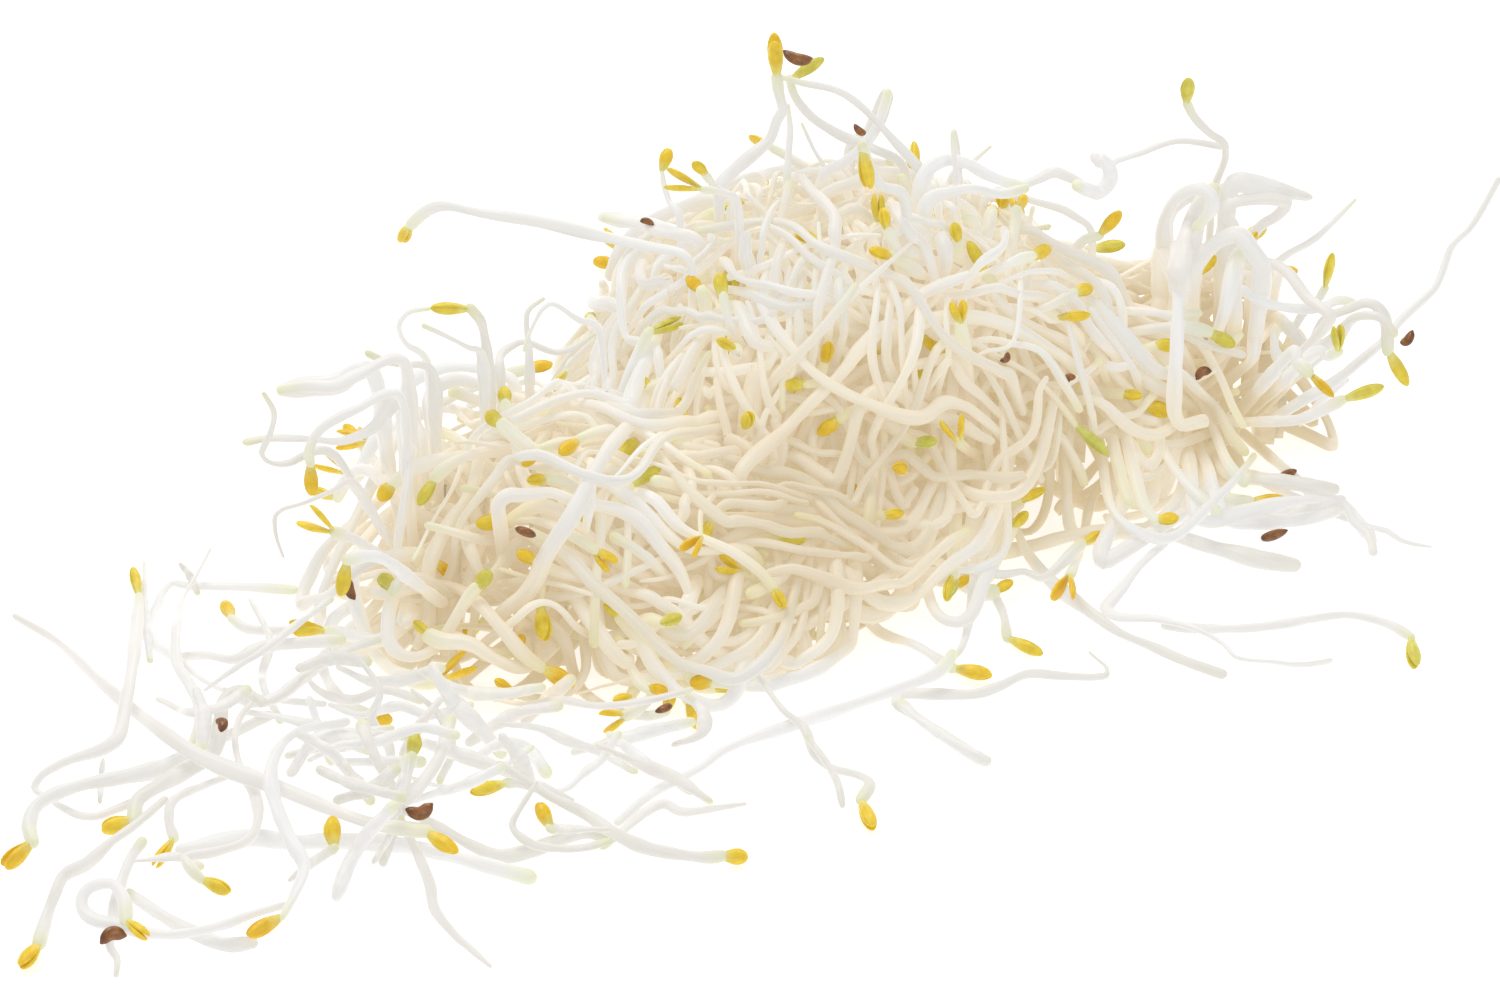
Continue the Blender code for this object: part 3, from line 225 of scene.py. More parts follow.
# Sprouts that show for part of their length and run into the tangle.
TANGLED = [
    # Top of the crown.
    clear(1.2, (26, 30), [(720, 190), (731, 173), (752, 155), (770, 139), (776, 122), (783, 108), (779, 95),
        (777, 78)], (774, 34)),
    clear(1.2, (28, 31), [(905, 170), (874, 149), (849, 139), (833, 131), (813, 118), (800, 104), (793, 92),
        (790, 80)], (824, 58)),
    clear(1.0, (25, 32), [(967, 227), (937, 191), (911, 159), (896, 143), (879, 124), (863, 108), (846, 95),
        (829, 88), (803, 83), (781, 77)]),
    clear(1.0, (27, 30), [(787, 185), (788, 160), (790, 130), (788, 106)]),
    clear(0.8, (28, 30), [(826, 176), (813, 148), (802, 124)]),
    clear(1.2, (27, 29), [(824, 178), (843, 163), (863, 146), (876, 129), (883, 110), (888, 93)]),
    clear(1.0, (20, 18), [(905, 200), (880, 185), (868, 160), (862, 146)], (869, 188)),
    clear(0.7, (24, 28), [(680, 220), (670, 203), (664, 185), (662, 170)], (668, 152)),
    clear(0.8, (24, 22), [(735, 205), (716, 188), (705, 174)], (694, 162)),
    clear(0.8, (20, 18), [(738, 206), (722, 193), (702, 189)], (664, 177)),
    clear(1.1, (20, 28), [(690, 262), (650, 247), (600, 236), (540, 222), (480, 213), (445, 206),
        (425, 212), (411, 225)], (401, 241)),
    clear(1.3, (22, 26), [(700, 245), (660, 232), (640, 225), (605, 218)]),
    clear(1.0, (24, 27), [(957, 195), (955, 165), (953, 134)]),
    clear(0.7, (26, 28), [(950, 180), (972, 162), (990, 147)]),
    clear(1.6, (25, 27), [(922, 190), (928, 170), (945, 160), (966, 163), (984, 173), (1003, 181),
        (1022, 186)]),
    clear(1.4, (23, 25), [(925, 207), (950, 192), (975, 189), (1000, 194), (1024, 189)]),
    clear(1.0, (24, 28), [(1018, 255), (1026, 233), (1033, 208)]),
    # Left of the crown, over the left mound.
    clear(1.1, (8, 6), [(489, 372), (486, 345), (481, 322), (471, 309)], (430, 308)),
    clear(0.9, (8, 6), [(428, 364), (405, 343), (399, 325), (410, 312), (428, 309)]),
    clear(1.0, (6, 2), [(482, 358), (467, 347), (442, 334), (424, 326)]),
    clear(1.5, (4, 0), [(404, 362), (360, 374), (335, 386), (305, 386), (281, 390)]),
    clear(1.2, (6, 4), [(432, 372), (404, 365), (385, 361), (369, 354)]),
    clear(1.3, (2, -4), [(399, 403), (373, 428), (342, 441), (309, 439), (271, 438), (248, 442)]),
    clear(0.9, (-2, -4), [(330, 452), (284, 464), (262, 456), (270, 434), (274, 413), (264, 394)]),
    clear(1.1, (0, -6), [(400, 396), (355, 410), (322, 428), (310, 448), (310, 462)], (312, 496)),
    clear(0.9, (-9, -3), [(283, 556), (276, 535), (277, 513), (304, 503), (330, 492), (352, 484)],
        root="tip", top="sunk"),
    lying(0.9, (0, 3), [(423, 440), (415, 415), (414, 385)], root="sunk"),
    clear(0.9, (12, 14), [(530, 400), (529, 352), (527, 314), (543, 299)]),
    clear(0.8, (16, 12), [(600, 335), (577, 319), (549, 304), (531, 330), (524, 350)]),
    clear(0.8, (8, 16), [(500, 372), (500, 356), (510, 347), (526, 342), (560, 352), (598, 332)]),
    lying(1.1, (0, 2.0), [(398, 552), (403, 510), (410, 467), (415, 425), (414, 395)], root="sunk"),
    clear(1.1, (-8, -13), [(375, 552), (356, 540), (334, 532)], (296, 510)),
    clear(1.1, (-9, -13), [(385, 560), (365, 556), (347, 560)], (341, 596)),
    lying(1.0, (0, 2.0), [(360, 632), (300, 630), (279, 631), (249, 629), (232, 619)], (220, 592),
        root="sunk"),
    lying(1.3, (0, 3.5), [(380, 640), (352, 636), (328, 632)], (290, 627), root="sunk"),
    # Right of the crown, over the right mound.
    clear(1.0, (33, 31), [(1213, 195), (1218, 178), (1225, 159), (1224, 143), (1211, 134), (1195, 118),
        (1187, 103)], (1188, 78)),
    clear(1.1, (34, 27), [(1225, 147), (1187, 141), (1166, 143), (1141, 153), (1115, 162), (1109, 173),
        (1097, 190), (1077, 181), (1054, 172), (1036, 180), (1013, 189), (985, 200)], root="tip",
        top="sunk"),
    clear(0.8, (30, 28), [(1092, 234), (1082, 222), (1064, 210), (1044, 204), (1013, 196), (985, 196)],
        top="sunk"),
    clear(1.0, (27, 26), [(1072, 268), (1074, 252), (1084, 240), (1099, 236)], (1121, 211)),
    clear(1.6, (24, 27), [(1180, 290), (1165, 250), (1166, 216), (1182, 194), (1205, 190), (1212, 208),
        (1198, 226)]),
    clear(1.2, (30, 32), [(1230, 225), (1217, 196), (1240, 183), (1262, 186), (1284, 191), (1309, 197)]),
    clear(1.1, (28, 25), [(1235, 230), (1222, 209), (1250, 199), (1284, 200), (1282, 212), (1268, 221),
        (1254, 232), (1250, 252), (1256, 275)], top="sunk"),
    clear(1.9, (26, 30), [(1194, 262), (1196, 236), (1202, 214), (1210, 192)]),
    clear(1.7, (24, 24), [(1192, 272), (1206, 252), (1222, 239), (1240, 235), (1251, 250), (1262, 270)],
        top="sunk"),
    clear(1.3, (25, 21), [(1240, 264), (1265, 262), (1285, 270), (1299, 287), (1312, 303), (1330, 318)],
        top="sunk"),
    clear(1.4, (23, 22), [(1235, 292), (1262, 302), (1290, 308), (1318, 308), (1340, 300), (1354, 304)]),
    clear(0.9, (28, 32), [(1262, 280), (1284, 257), (1313, 240), (1334, 221), (1355, 200)]),
    clear(1.3, (38, 18), [(1498, 181), (1482, 210), (1468, 231), (1452, 246), (1444, 267), (1435, 288),
        (1418, 304), (1401, 320), (1383, 341), (1361, 360), (1335, 381), (1300, 402), (1270, 420)],
        root="tip", top="sunk"),
    clear(0.8, (24, 23), [(1300, 318), (1317, 301), (1325, 288)], (1333, 250)),
    clear(1.2, (22, 19), [(1310, 345), (1325, 320), (1348, 309), (1370, 303), (1385, 318), (1388, 350)],
        (1406, 383)),
    clear(1.2, (20, 17), [(1316, 352), (1328, 356), (1338, 351)], (1338, 326)),
    clear(1.2, (18, 14), [(1292, 352), (1298, 362), (1308, 372)], (1334, 397)),
    clear(1.1, (14, 13), [(1296, 420), (1318, 412), (1342, 400)], (1384, 386)),
    lying(1.3, (0.6, 1.5), [(1373, 552), (1369, 535), (1354, 521), (1345, 504), (1327, 499), (1290, 502),
        (1245, 512), (1200, 520)], top="sunk"),
    lying(0.8, (0.5, 1.2), [(1430, 547), (1403, 541), (1385, 530), (1368, 526), (1300, 500), (1240, 470)],
        top="sunk"),
    lying(1.2, (2.5, 2.0), [(1334, 489), (1300, 483), (1260, 478), (1215, 470)], top="sunk"),
    lying(1.5, (0.7, 1.5), [(1294, 565), (1262, 560), (1227, 551), (1185, 542), (1128, 532), (1074, 535),
        (1032, 546), (985, 556)], root="blunt"),
    # In front of the heap on the right.
    lying(1.1, (0.6, 2.0), [(1329, 661), (1300, 665), (1266, 661), (1239, 659), (1222, 643), (1195, 629),
        (1158, 619), (1107, 614), (1122, 588), (1143, 562), (1168, 540), (1205, 500)], top="sunk"),
    lying(1.2, (0.6, 1.5), [(1222, 674), (1185, 661), (1151, 646), (1120, 633), (1097, 617), (1074, 600),
        (1051, 581), (1028, 554), (1010, 520)], top="sunk"),
    lying(1.0, (0, 2.5), [(1092, 500), (1084, 535), (1078, 558), (1070, 575)], (1059, 607), root="sunk"),
    lying(1.0, (0, 1.5), [(925, 535), (944, 554), (967, 577), (990, 592), (1003, 613), (1007, 638)],
        (1043, 654), root="sunk"),
    lying(1.1, (0.5, 0.9), [(850, 600), (880, 632), (915, 645), (952, 668)], (992, 675), root="sunk"),
    lying(1.1, (1.0, 0.8), [(978, 520), (976, 560), (972, 600), (964, 642), (950, 662)], root="sunk"),
    lying(1.1, (0, 3.0), [(880, 570), (930, 560), (955, 574)], (948, 600), root="sunk"),
    # Over the face of the heap.
    woven(1.2, (0.5, 0.5), [(905, 352), (925, 322), (967, 317), (993, 321), (1015, 329), (1040, 343),
        (1065, 359), (1086, 380), (1105, 410)]),
    woven(1.2, (1.0, 1.0), [(640, 530), (663, 517), (689, 514), (724, 518), (768, 521), (806, 523),
        (857, 520), (898, 518), (950, 510), (1000, 495)]),
    woven(1.4, (1.5, 1.2), [(498, 615), (530, 590), (548, 552), (571, 518), (587, 487), (607, 451),
        (628, 426), (653, 390), (675, 366)]),
    woven(1.3, (1.4, 1.0), [(660, 392), (695, 346), (717, 330), (740, 316), (773, 296), (807, 285)]),
    woven(1.3, (1.5, 1.3), [(742, 470), (784, 431), (812, 402), (841, 374), (863, 346), (893, 326)]),
    woven(1.3, (1.0, 1.2), [(748, 376), (798, 338), (829, 299), (838, 285)]),
    lying(0.8, (1.4, 0.6), [(914, 240), (883, 268), (849, 299), (830, 325)], top="sunk"),
    woven(1.4, (1.0, 1.0), [(755, 372), (757, 400), (754, 432), (730, 456), (708, 480)]),
    woven(1.3, (1.0, 1.6), [(775, 645), (812, 622), (855, 598), (897, 571), (940, 545), (988, 520),
        (1020, 500)]),
    woven(1.2, (1.3, 1.0), [(500, 500), (528, 495), (554, 493), (574, 502), (612, 508), (638, 520),
        (658, 543), (679, 570), (690, 600)]),
    woven(1.2, (1.4, 1.4), [(1204, 420), (1176, 419), (1177, 340), (1178, 290), (1176, 245)]),
    woven(1.4, (1.6, 2.0), [(1100, 560), (1140, 540), (1178, 516), (1204, 493), (1238, 468)]),
]

# Cotyledons that show on the face of the heap: where the stem ends, and their far tip.
FACE_HEADS = [
    ((712, 213), (744, 212)), ((822, 243), (795, 231)), ((986, 276), (966, 240)),
    ((619, 264), (593, 261)), ((736, 299), (735, 272)), ((762, 343), (789, 338)),
    ((821, 364), (827, 341)), ((958, 320), (955, 297)), ((918, 338), (946, 357)),
    ((780, 378), (813, 393)), ((670, 398), (685, 423)), ((839, 417), (814, 434)),
    ((622, 486), (650, 463)), ((539, 451), (521, 466)), ((768, 533), (802, 533)),
    ((743, 573), (716, 561)), ((592, 549), (612, 567)), ((1142, 404), (1171, 413)),
    ((1210, 336), (1237, 350)), ((1008, 509), (1037, 494)), ((436, 477), (419, 505)),
    ((504, 618), (464, 637)), ((541, 667), (573, 685)), ((438, 681), (475, 658)),
    ((690, 704), (706, 742)), ((583, 514), (591, 533)), ((640, 440), (622, 456)),
    ((1244, 504), (1281, 502)),
]

# Seed coats that lie on or by the heap: their two ends in the picture, and their lift.
COATS = {
    "seed_coat_front": ((405, 809), (433, 803), 4.4),
    "seed_coat_left": ((100, 944), (127, 936), 3.2),
}

# Cotyledons on the face of the heap that the solids leave out. The third value is how far
# the pair stands open, in radians.
MORE_HEADS = [
    ((878, 253), (854, 258), 0.0), ((626, 298), (612, 273), 0.0), ((766, 298), (771, 279), 0.0),
    ((802, 320), (787, 299), 0.2), ((847, 310), (867, 304), 0.0), ((940, 347), (929, 314), 0.7),
    ((889, 390), (884, 370), 0.0), ((693, 526), (677, 557), 0.1), ((446, 562), (472, 583), 0.0),
    ((540, 531), (511, 521), 0.0), ((1194, 272), (1229, 254), 0.5), ((370, 716), (393, 720), 0.0),
    ((629, 718), (601, 725), 0.6), ((712, 677), (743, 663), 0.0), ((878, 228), (880, 205), 0.0),
    ((948, 246), (925, 237), 0.0), ((706, 262), (700, 240), 0.0), ((756, 272), (749, 250), 0.0),
    ((860, 330), (868, 352), 0.0), ((905, 375), (924, 366), 0.0), ((690, 412), (688, 392), 0.0),
    ((704, 446), (686, 434), 0.0), ((660, 362), (646, 350), 0.0), ((575, 456), (551, 464), 0.0),
    ((508, 415), (500, 392), 0.0), ((505, 436), (488, 424), 0.0), ((548, 484), (527, 476), 0.0),
    ((612, 566), (596, 554), 0.0), ((556, 549), (534, 540), 0.0), ((818, 545), (838, 556), 0.0),
    ((665, 588), (678, 569), 0.0), ((738, 556), (752, 572), 0.0), ((706, 612), (692, 596), 0.0),
    ((890, 462), (880, 440), 0.0), ((872, 472), (890, 464), 0.0), ((1050, 290), (1070, 276), 0.0),
    ((998, 240), (1016, 226), 0.0), ((1028, 330), (1014, 310), 0.0), ((982, 214), (1006, 206), 0.0),
    ((968, 530), (984, 514), 0.0), ((934, 526), (920, 540), 0.0), ((962, 578), (940, 592), 0.0),
    ((1003, 466), (1022, 456), 0.0), ((1076, 458), (1094, 446), 0.0), ((1164, 452), (1186, 446), 0.0),
    ((978, 572), (990, 556), 0.0), ((660, 650), (674, 642), 0.0), ((668, 700), (676, 688), 0.0),
    ((392, 484), (378, 500), 0.0), ((366, 518), (352, 500), 0.0), ((512, 660), (522, 648), 0.0),
    ((516, 680), (504, 668), 0.0), ((478, 592), (490, 578), 0.0), ((436, 598), (422, 588), 0.0),
    ((1216, 540), (1218, 520), 0.0), ((1150, 342), (1168, 328), 0.0), ((1100, 362), (1116, 350), 0.0),
    ((640, 690), (622, 702), 0.0), ((846, 500), (862, 490), 0.0), ((800, 470), (784, 480), 0.0),
]

# Fine strands that the solids leave out.
MORE_STRANDS = [
    lying(0.7, (1.6, 0.6), [(103, 760), (101, 780), (100, 802)]),
    lying(0.8, (0.6, 3.0), [(144, 563), (145, 599), (147, 631), (150, 660)]),
    lying(0.8, (2.4, 1.6), [(180, 564), (190, 576), (197, 592)]),
    lying(0.9, (2.4, 1.0), [(135, 861), (155, 859), (178, 857), (200, 866)]),
    lying(0.9, (1.4, 2.4), [(225, 690), (262, 702), (285, 694), (310, 672), (342, 652), (378, 640)]),
    lying(1.0, (2.0, 2.6), [(246, 712), (279, 717), (317, 726), (352, 732), (390, 728)]),
    lying(0.9, (2.0, 2.0), [(405, 776), (447, 787), (482, 774), (509, 762), (530, 748)]),
    lying(0.9, (3.0, 0.8), [(500, 724), (538, 728), (568, 741), (602, 753), (634, 772)]),
    lying(0.8, (1.4, 2.4), [(546, 794), (568, 788), (584, 773), (602, 759), (618, 735)]),
    lying(0.9, (2.0, 2.2), [(330, 705), (362, 715), (398, 706), (430, 715), (470, 705)]),
    lying(1.0, (1.5, 2.8), [(310, 760), (340, 745), (375, 742), (420, 728), (455, 735)]),
    lying(1.0, (3.0, 1.5), [(360, 660), (380, 690), (372, 720), (390, 750), (384, 782)]),
    lying(0.9, (1.0, 3.0), [(300, 665), (318, 690), (352, 700), (384, 690), (420, 700)]),
    lying(0.8, (2.4, 1.2), [(250, 600), (270, 640), (262, 680), (280, 720)]),
    lying(0.8, (1.6, 3.4), [(205, 690), (236, 668), (264, 650), (300, 622), (330, 600)]),
    lying(0.9, (2.0, 2.0), [(470, 690), (520, 704), (560, 700), (600, 706), (650, 700), (690, 690)]),
    lying(0.9, (3.0, 1.0), [(412, 690), (440, 716), (452, 750), (440, 780)]),
    lying(0.8, (1.0, 4.0), [(1300, 425), (1318, 404), (1332, 392), (1346, 380)]),
    lying(1.3, (2.0, 2.0), [(395, 735), (440, 748), (490, 765), (520, 775)]),
    lying(1.4, (1.4, 2.4), [(290, 755), (330, 745), (370, 738), (405, 735)]),
    lying(1.2, (1.6, 2.4), [(320, 770), (350, 783), (385, 793), (400, 797)]),
    lying(1.1, (2.4, 1.6), [(345, 765), (356, 780), (370, 800)]),
    lying(1.3, (1.8, 2.6), [(400, 800), (388, 780), (372, 750), (362, 725)]),
    lying(1.2, (1.0, 2.8), [(338, 800), (372, 788), (395, 770)]),
    lying(1.2, (2.4, 1.2), [(310, 700), (316, 720), (322, 740), (330, 760)]),
    lying(1.3, (0.8, 2.8), [(375, 860), (392, 830), (400, 790), (405, 760)]),
    lying(1.3, (1.6, 2.6), [(525, 722), (545, 702), (570, 680)]),
    lying(1.1, (1.4, 2.2), [(400, 805), (430, 795), (470, 783), (500, 768)]),
    lying(1.3, (1.8, 1.8), [(345, 762), (375, 762), (420, 762)]),
    lying(1.5, (3.0, 1.6), [(432, 668), (452, 700), (480, 728), (500, 752)]),
    lying(1.4, (2.0, 2.6), [(470, 742), (495, 725), (522, 712), (556, 706)]),
    lying(1.2, (1.4, 1.6), [(575, 752), (612, 742), (652, 731), (690, 722)]),
    lying(1.1, (3.0, 1.8), [(440, 700), (420, 725), (408, 745), (402, 765)]),
    lying(1.2, (3.4, 2.6), [(425, 672), (460, 690), (498, 694), (540, 688)]),
    lying(1.2, (2.2, 0.8), [(610, 735), (645, 762), (668, 785), (690, 800)]),
    clear(1.9, (32, 30), [(1304, 196), (1280, 190), (1252, 184), (1230, 190)], root="blunt", top="sunk"),
    clear(1.6, (29, 28), [(886, 97), (878, 118), (868, 135), (850, 152)], root="blunt", top="sunk"),
    clear(1.5, (26, 23), [(604, 217), (630, 221), (655, 226), (690, 242)], root="blunt", top="sunk"),
    clear(1.1, (27, 25), [(954, 134), (956, 155), (958, 182)], root="blunt", top="sunk"),
    clear(1.5, (30, 29), [(1096, 158), (1108, 166), (1110, 180), (1098, 192), (1078, 186)], root="blunt"),
    clear(2.3, (26, 30), [(1164, 248), (1166, 222), (1180, 202), (1200, 190)]),
    clear(2.1, (25, 30), [(1182, 250), (1188, 228), (1196, 208), (1212, 190)]),
    clear(1.6, (0, 4), [(283, 390), (306, 387), (336, 384), (372, 372)], root="blunt", top="sunk"),
    lying(1.3, (0.8, 0.8), [(985, 761), (955, 745), (922, 722), (903, 704)], root="blunt"),
    lying(1.3, (0.8, 2.2), [(337, 895), (350, 862), (366, 836), (392, 808)], root="blunt"),
    lying(1.3, (2.5, 2.5), [(1334, 489), (1300, 484), (1262, 479), (1230, 474)], root="blunt", top="sunk"),
    lying(1.3, (0.8, 1.8), [(1371, 549), (1364, 530), (1346, 508), (1318, 497)], root="blunt", top="sunk"),
    clear(1.4, (11, 13), [(404, 392), (430, 372), (462, 366), (492, 372), (515, 384)], top="sunk"),
    clear(1.3, (11, 12), [(430, 398), (452, 380), (478, 384), (505, 392)], top="sunk"),
    lying(1.6, (1.0, 1.5), [(1340, 500), (1305, 508), (1270, 518), (1235, 528)], root="blunt", top="sunk"),
    lying(1.4, (0.8, 1.5), [(1335, 512), (1300, 520), (1262, 522), (1225, 515)], root="blunt", top="sunk"),
    clear(1.5, (21, 20), [(1336, 338), (1354, 318), (1378, 317), (1393, 332)]),
    lying(1.5, (1.4, 2.0), [(292, 772), (310, 746), (336, 736), (368, 748)]),
    lying(1.4, (2.2, 1.4), [(300, 734), (330, 752), (354, 778)]),
    lying(1.4, (2.0, 1.4), [(474, 760), (500, 744), (530, 752), (546, 772)]),
    lying(1.5, (2.8, 1.6), [(503, 738), (519, 758), (528, 782)]),
    lying(1.2, (2.2, 0.8), [(600, 746), (640, 764), (676, 778), (708, 800)]),
    lying(1.3, (1.0, 2.0), [(676, 744), (700, 734), (704, 714), (690, 698)]),
    lying(1.2, (2.0, 2.4), [(160, 700), (190, 712), (222, 706), (246, 690)]),
    lying(1.2, (3.0, 2.4), [(196, 690), (204, 715), (202, 745)]),
    lying(1.2, (2.4, 2.8), [(340, 668), (372, 682), (404, 680), (440, 668)]),
    lying(1.2, (2.6, 2.6), [(300, 668), (330, 658), (366, 662)]),
]

# Openings in the heap where the surface behind shows through: a place and a radius, in
# pixels of the picture.
GAPS = [
    ((440, 418), 13), ((398, 475), 20), ((423, 484), 11), ((366, 525), 26), ((368, 575), 20),
    ((390, 578), 11), ((512, 548), 13), ((845, 553), 14), ((957, 556), 15), ((590, 610), 10),
    ((614, 660), 15), ((648, 650), 11), ((490, 637), 13), ((1008, 492), 17), ((1031, 493), 15),
    ((1108, 467), 17), ((1228, 325), 15), ((1287, 294), 13), ((1320, 357), 15), ((1230, 420), 13),
    ((1270, 467), 11), ((1215, 476), 11), ((1133, 511), 11), ((1160, 511), 11), ((1080, 514), 11),
    ((1110, 572), 36), ((1150, 572), 30), ((1186, 578), 20), ((1020, 610), 26), ((1050, 600), 22),
    ((1072, 540), 13), ((930, 617), 17), ((904, 614), 17), ((1338, 440), 34), ((1346, 472), 20),
    ((1372, 420), 20), ((820, 690), 26), ((860, 672), 18), ((680, 722), 20), ((640, 727), 14),
    ((736, 702), 14), ((572, 713), 12), ((583, 300), 22), ((572, 326), 14), ((1030, 214), 14),
    ((1060, 234), 14), ((1124, 250), 20), ((300, 572), 24), ((308, 540), 16), ((330, 466), 15),
    ((760, 158), 14), ((560, 362), 12), ((1250, 232), 10), ((1300, 396), 11), ((300, 610), 16),
]
GAP_MARGIN = 6

# More seed coats: two ends in the picture, lift over the heap or None, and depth or None.
MORE_COATS = [
    ((783, 50), (813, 58), None, 28.0),
    ((1262, 538), (1288, 530), 2.0, None),
    ((1282, 482), (1297, 470), 3.0, None),
    ((1400, 343), (1413, 330), None, 20.5),
    ((536, 536), (515, 528), 2.6, None),
    ((1196, 380), (1212, 371), 2.4, None),
    ((351, 580), (355, 600), 3.4, None),
    ((640, 221), (654, 225), None, 23.5),
    ((216, 720), (221, 732), 4.0, None),
    ((854, 124), (866, 133), None, 27.0),
    ((1000, 361), (1008, 352), 2.6, None),
    ((1066, 384), (1076, 377), 2.6, None),
    ((655, 712), (671, 705), 2.6, None),
]

# The sprouts that fill the heap: how many, the share of the heap's height that each layer
# lies at and the share of the sprouts in it, and then how they bend, wave, turn and rise.
FILL_SEED = 23
FILLERS = 340
FILL_LAYERS = ((1.0, 0.6), (0.84, 0.26), (0.66, 0.14))
FILL_LENGTHS = (26.0, 42.0)
FILL_WIDTHS = (0.65, 1.3)
FILL_LEAST_HEIGHT = 5.0
FILL_PUFF = 2.0
FILL_EDGE_HEIGHT = 2.0
LOOK_AHEAD = 3.0
FILL_HEADED = 0.2
FILL_BENDS = 3
FILL_ROUNDS = 40
FILL_BOX = ((-60, 60), (-45, 50))
FILL_STEEPNESS = 2.4
FILL_BEND = 0.025
FILL_WAVES = (14, 36)
FILL_TURNS = (0.02, 0.09)
FILL_RISES = (0.4, 1.8)
FILL_KINK = 1.0
FILL_EDGE_TURNS = (0.4, 1.5)
FILL_TAPERED = 0.6

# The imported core: the box and step of its grid, the least height of heap that it is under,
# how high its top is to the heap's, and how much that ripples.
CORE_BOX = ((-62, 66), (-46, 52))
CORE_GRID = 0.9
CORE_LEAST_HEIGHT = 8.5
CORE_TOP = 0.6
CORE_RIPPLE = 0.35

# Stem colours from the open air to deep in the heap, the creamier and darker of them painted shade, and the
# painted glow (emission) at each depth, which stands in for light passed on from stem to stem.
STEM_PALE = (0.5, 0.5, 0.495)
STEM_SHALLOW_PAINTED_SHADE = (0.51, 0.475, 0.395)
STEM_DEEP_PAINTED_SHADE = (0.48, 0.41, 0.285)
GLOW_OPEN = (0.43, 0.428, 0.426)
GLOW_SHALLOW = (0.465, 0.43, 0.36)
GLOW_MIDDLE = (0.375, 0.325, 0.248)
GLOW_DEEP = (0.35, 0.305, 0.215)
COTYLEDON_BASE = (0.76, 0.78, 0.4, 1)
# The seed leaves carry a painted glow: an emission of their own colour.
COTYLEDON_GLOW = 0.14

# The next values paint shade on the side of the heap away from the light: how far behind a point the heap
# may stand over it, by how much to shade it fully, and how much that counts. Then where this painted shade
# fades out at the rim of the heap, how it fades over x so that the left of the heap is painted lighter, and
# its least share.
LEE_STEPS = (4.0, 8.0, 13.0, 19.0)
LEE_RISE = (1.5, 13.0)
LEE_WEIGHT = 0.48
HEAP_RIM = (0.85, 1.5)
PAINTED_LIGHT_ON_LEFT = ((-32.0, -12.0), (0.35, 1.0))
LEAST_PAINTED_SHADE = 0.16

# The heap's sprouts are gathered into pieces by where they lie, cut at these x and y.
ZONES = ("left", "front_left", "front_right", "back_left", "back_right", "right")
LEFT_OF = -18
HALFWAY = 4
RIGHT_OF = 26
FRONT_OF = 10

# How finely sprouts are modelled: rings to a knot and sides to a ring.
TRACED_DETAIL = (3, 10)
FILLER_DETAIL = (2, 8)
LOBE_DETAIL = (12, 12)
COAT_DETAIL = (16, 14)

# Stems thicker than the first width start to end blunt, and do so fully at the second.
BLUNT_FROM = (0.95, 1.25)
TAPERED_END = 0.52 * ROOT_TIP_WIDTH

# How the rounded end of a stem bulges, ring by ring, and how flat stems are.
END_BULGE = np.array([0.35, 0.75, 0.95])
FLATNESS = (0.6, 0.95)

# Cotyledons: how far they reach back over the neck, how thick they are to their width, how
# big to the ordinary one, and how far some stand open.
LOBE_OVERLAP = 0.35
LOBE_THICKNESS = 0.78
LOBE_SIZES = (0.75, 0.98)
HEAP_SPREADS = (0.0, 0.0, 0.15, 0.45)
LOOSE_SPREADS = (0.0, 0.1, 0.3)

# The studio: floor, sky and lamps, each lamp's place, size, power and colour.
LOOK_SEED = 7
SENSOR_WIDTH = 36.0
FLOOR_REACH = 1500.0
FLOOR_GLOW = 0.6
SKY_STRENGTH = 0.55
LAMPS = {
    "key": ((-200, 120, 440), 260, 0.95, (1, 0.98, 0.95)),
    "fill": ((260, -300, 300), 320, 0.4, (0.97, 0.98, 1)),
    "back": ((60, 380, 300), 220, 0.5, (1, 0.99, 0.97)),
}


def picture_view():
    """Where the picture is seen from, and its directions forward and up."""
    forward = np.array([0, math.cos(VIEW_ELEVATION), -math.sin(VIEW_ELEVATION)])
    upward = np.array([0, math.sin(VIEW_ELEVATION), math.cos(VIEW_ELEVATION)])
    return np.array([0, 0, AIM_HEIGHT]) - forward * VIEW_DISTANCE, forward, upward


def in_picture(points):
    """Where points show in the picture, as pixels to the right and down."""
    eye, forward, upward = picture_view()
    seen = points - eye
    scale = PIXELS_PER_MM * VIEW_DISTANCE / (seen @ forward)
    return np.stack([PICTURE_CENTRE[0] + scale * seen[..., 0],
                     PICTURE_CENTRE[1] - scale * (seen @ upward)], -1)


def closes_gap(line):
    """Whether a line passes one of the gaps in front of or behind it."""
    places = in_picture(line)
    for middle, radius in GAPS:
        if np.linalg.norm(places - middle, axis=1).min() < radius + GAP_MARGIN:
            return True
    return False


def sight_line(place):
    """Where a place in the picture is seen from, and the direction it is seen in."""
    eye, forward, upward = picture_view()
    across, down = (np.array(place) - PICTURE_CENTRE) / (PIXELS_PER_MM * VIEW_DISTANCE)
    direction = forward + np.array([across, 0, 0]) - upward * down
    return eye, direction / np.linalg.norm(direction)


def outness(mound, x, y):
    """The square of how far out x, y are in a mound, which is 1 on its rim."""
    return ((x - mound[0]) / mound[2]) ** 2 + ((y - mound[1]) / mound[3]) ** 2


def heap_height(x, y):
    """Height of the heap's loose outer surface over the points x, y."""
    total = 0.0
    for mound in MOUNDS.values():
        rise = mound[-1] * np.clip(1 - outness(mound, x, y), 0, None) ** MOUND_ROUNDNESS
        total = total + rise**MOUND_BLEND
    return total ** (1 / MOUND_BLEND)


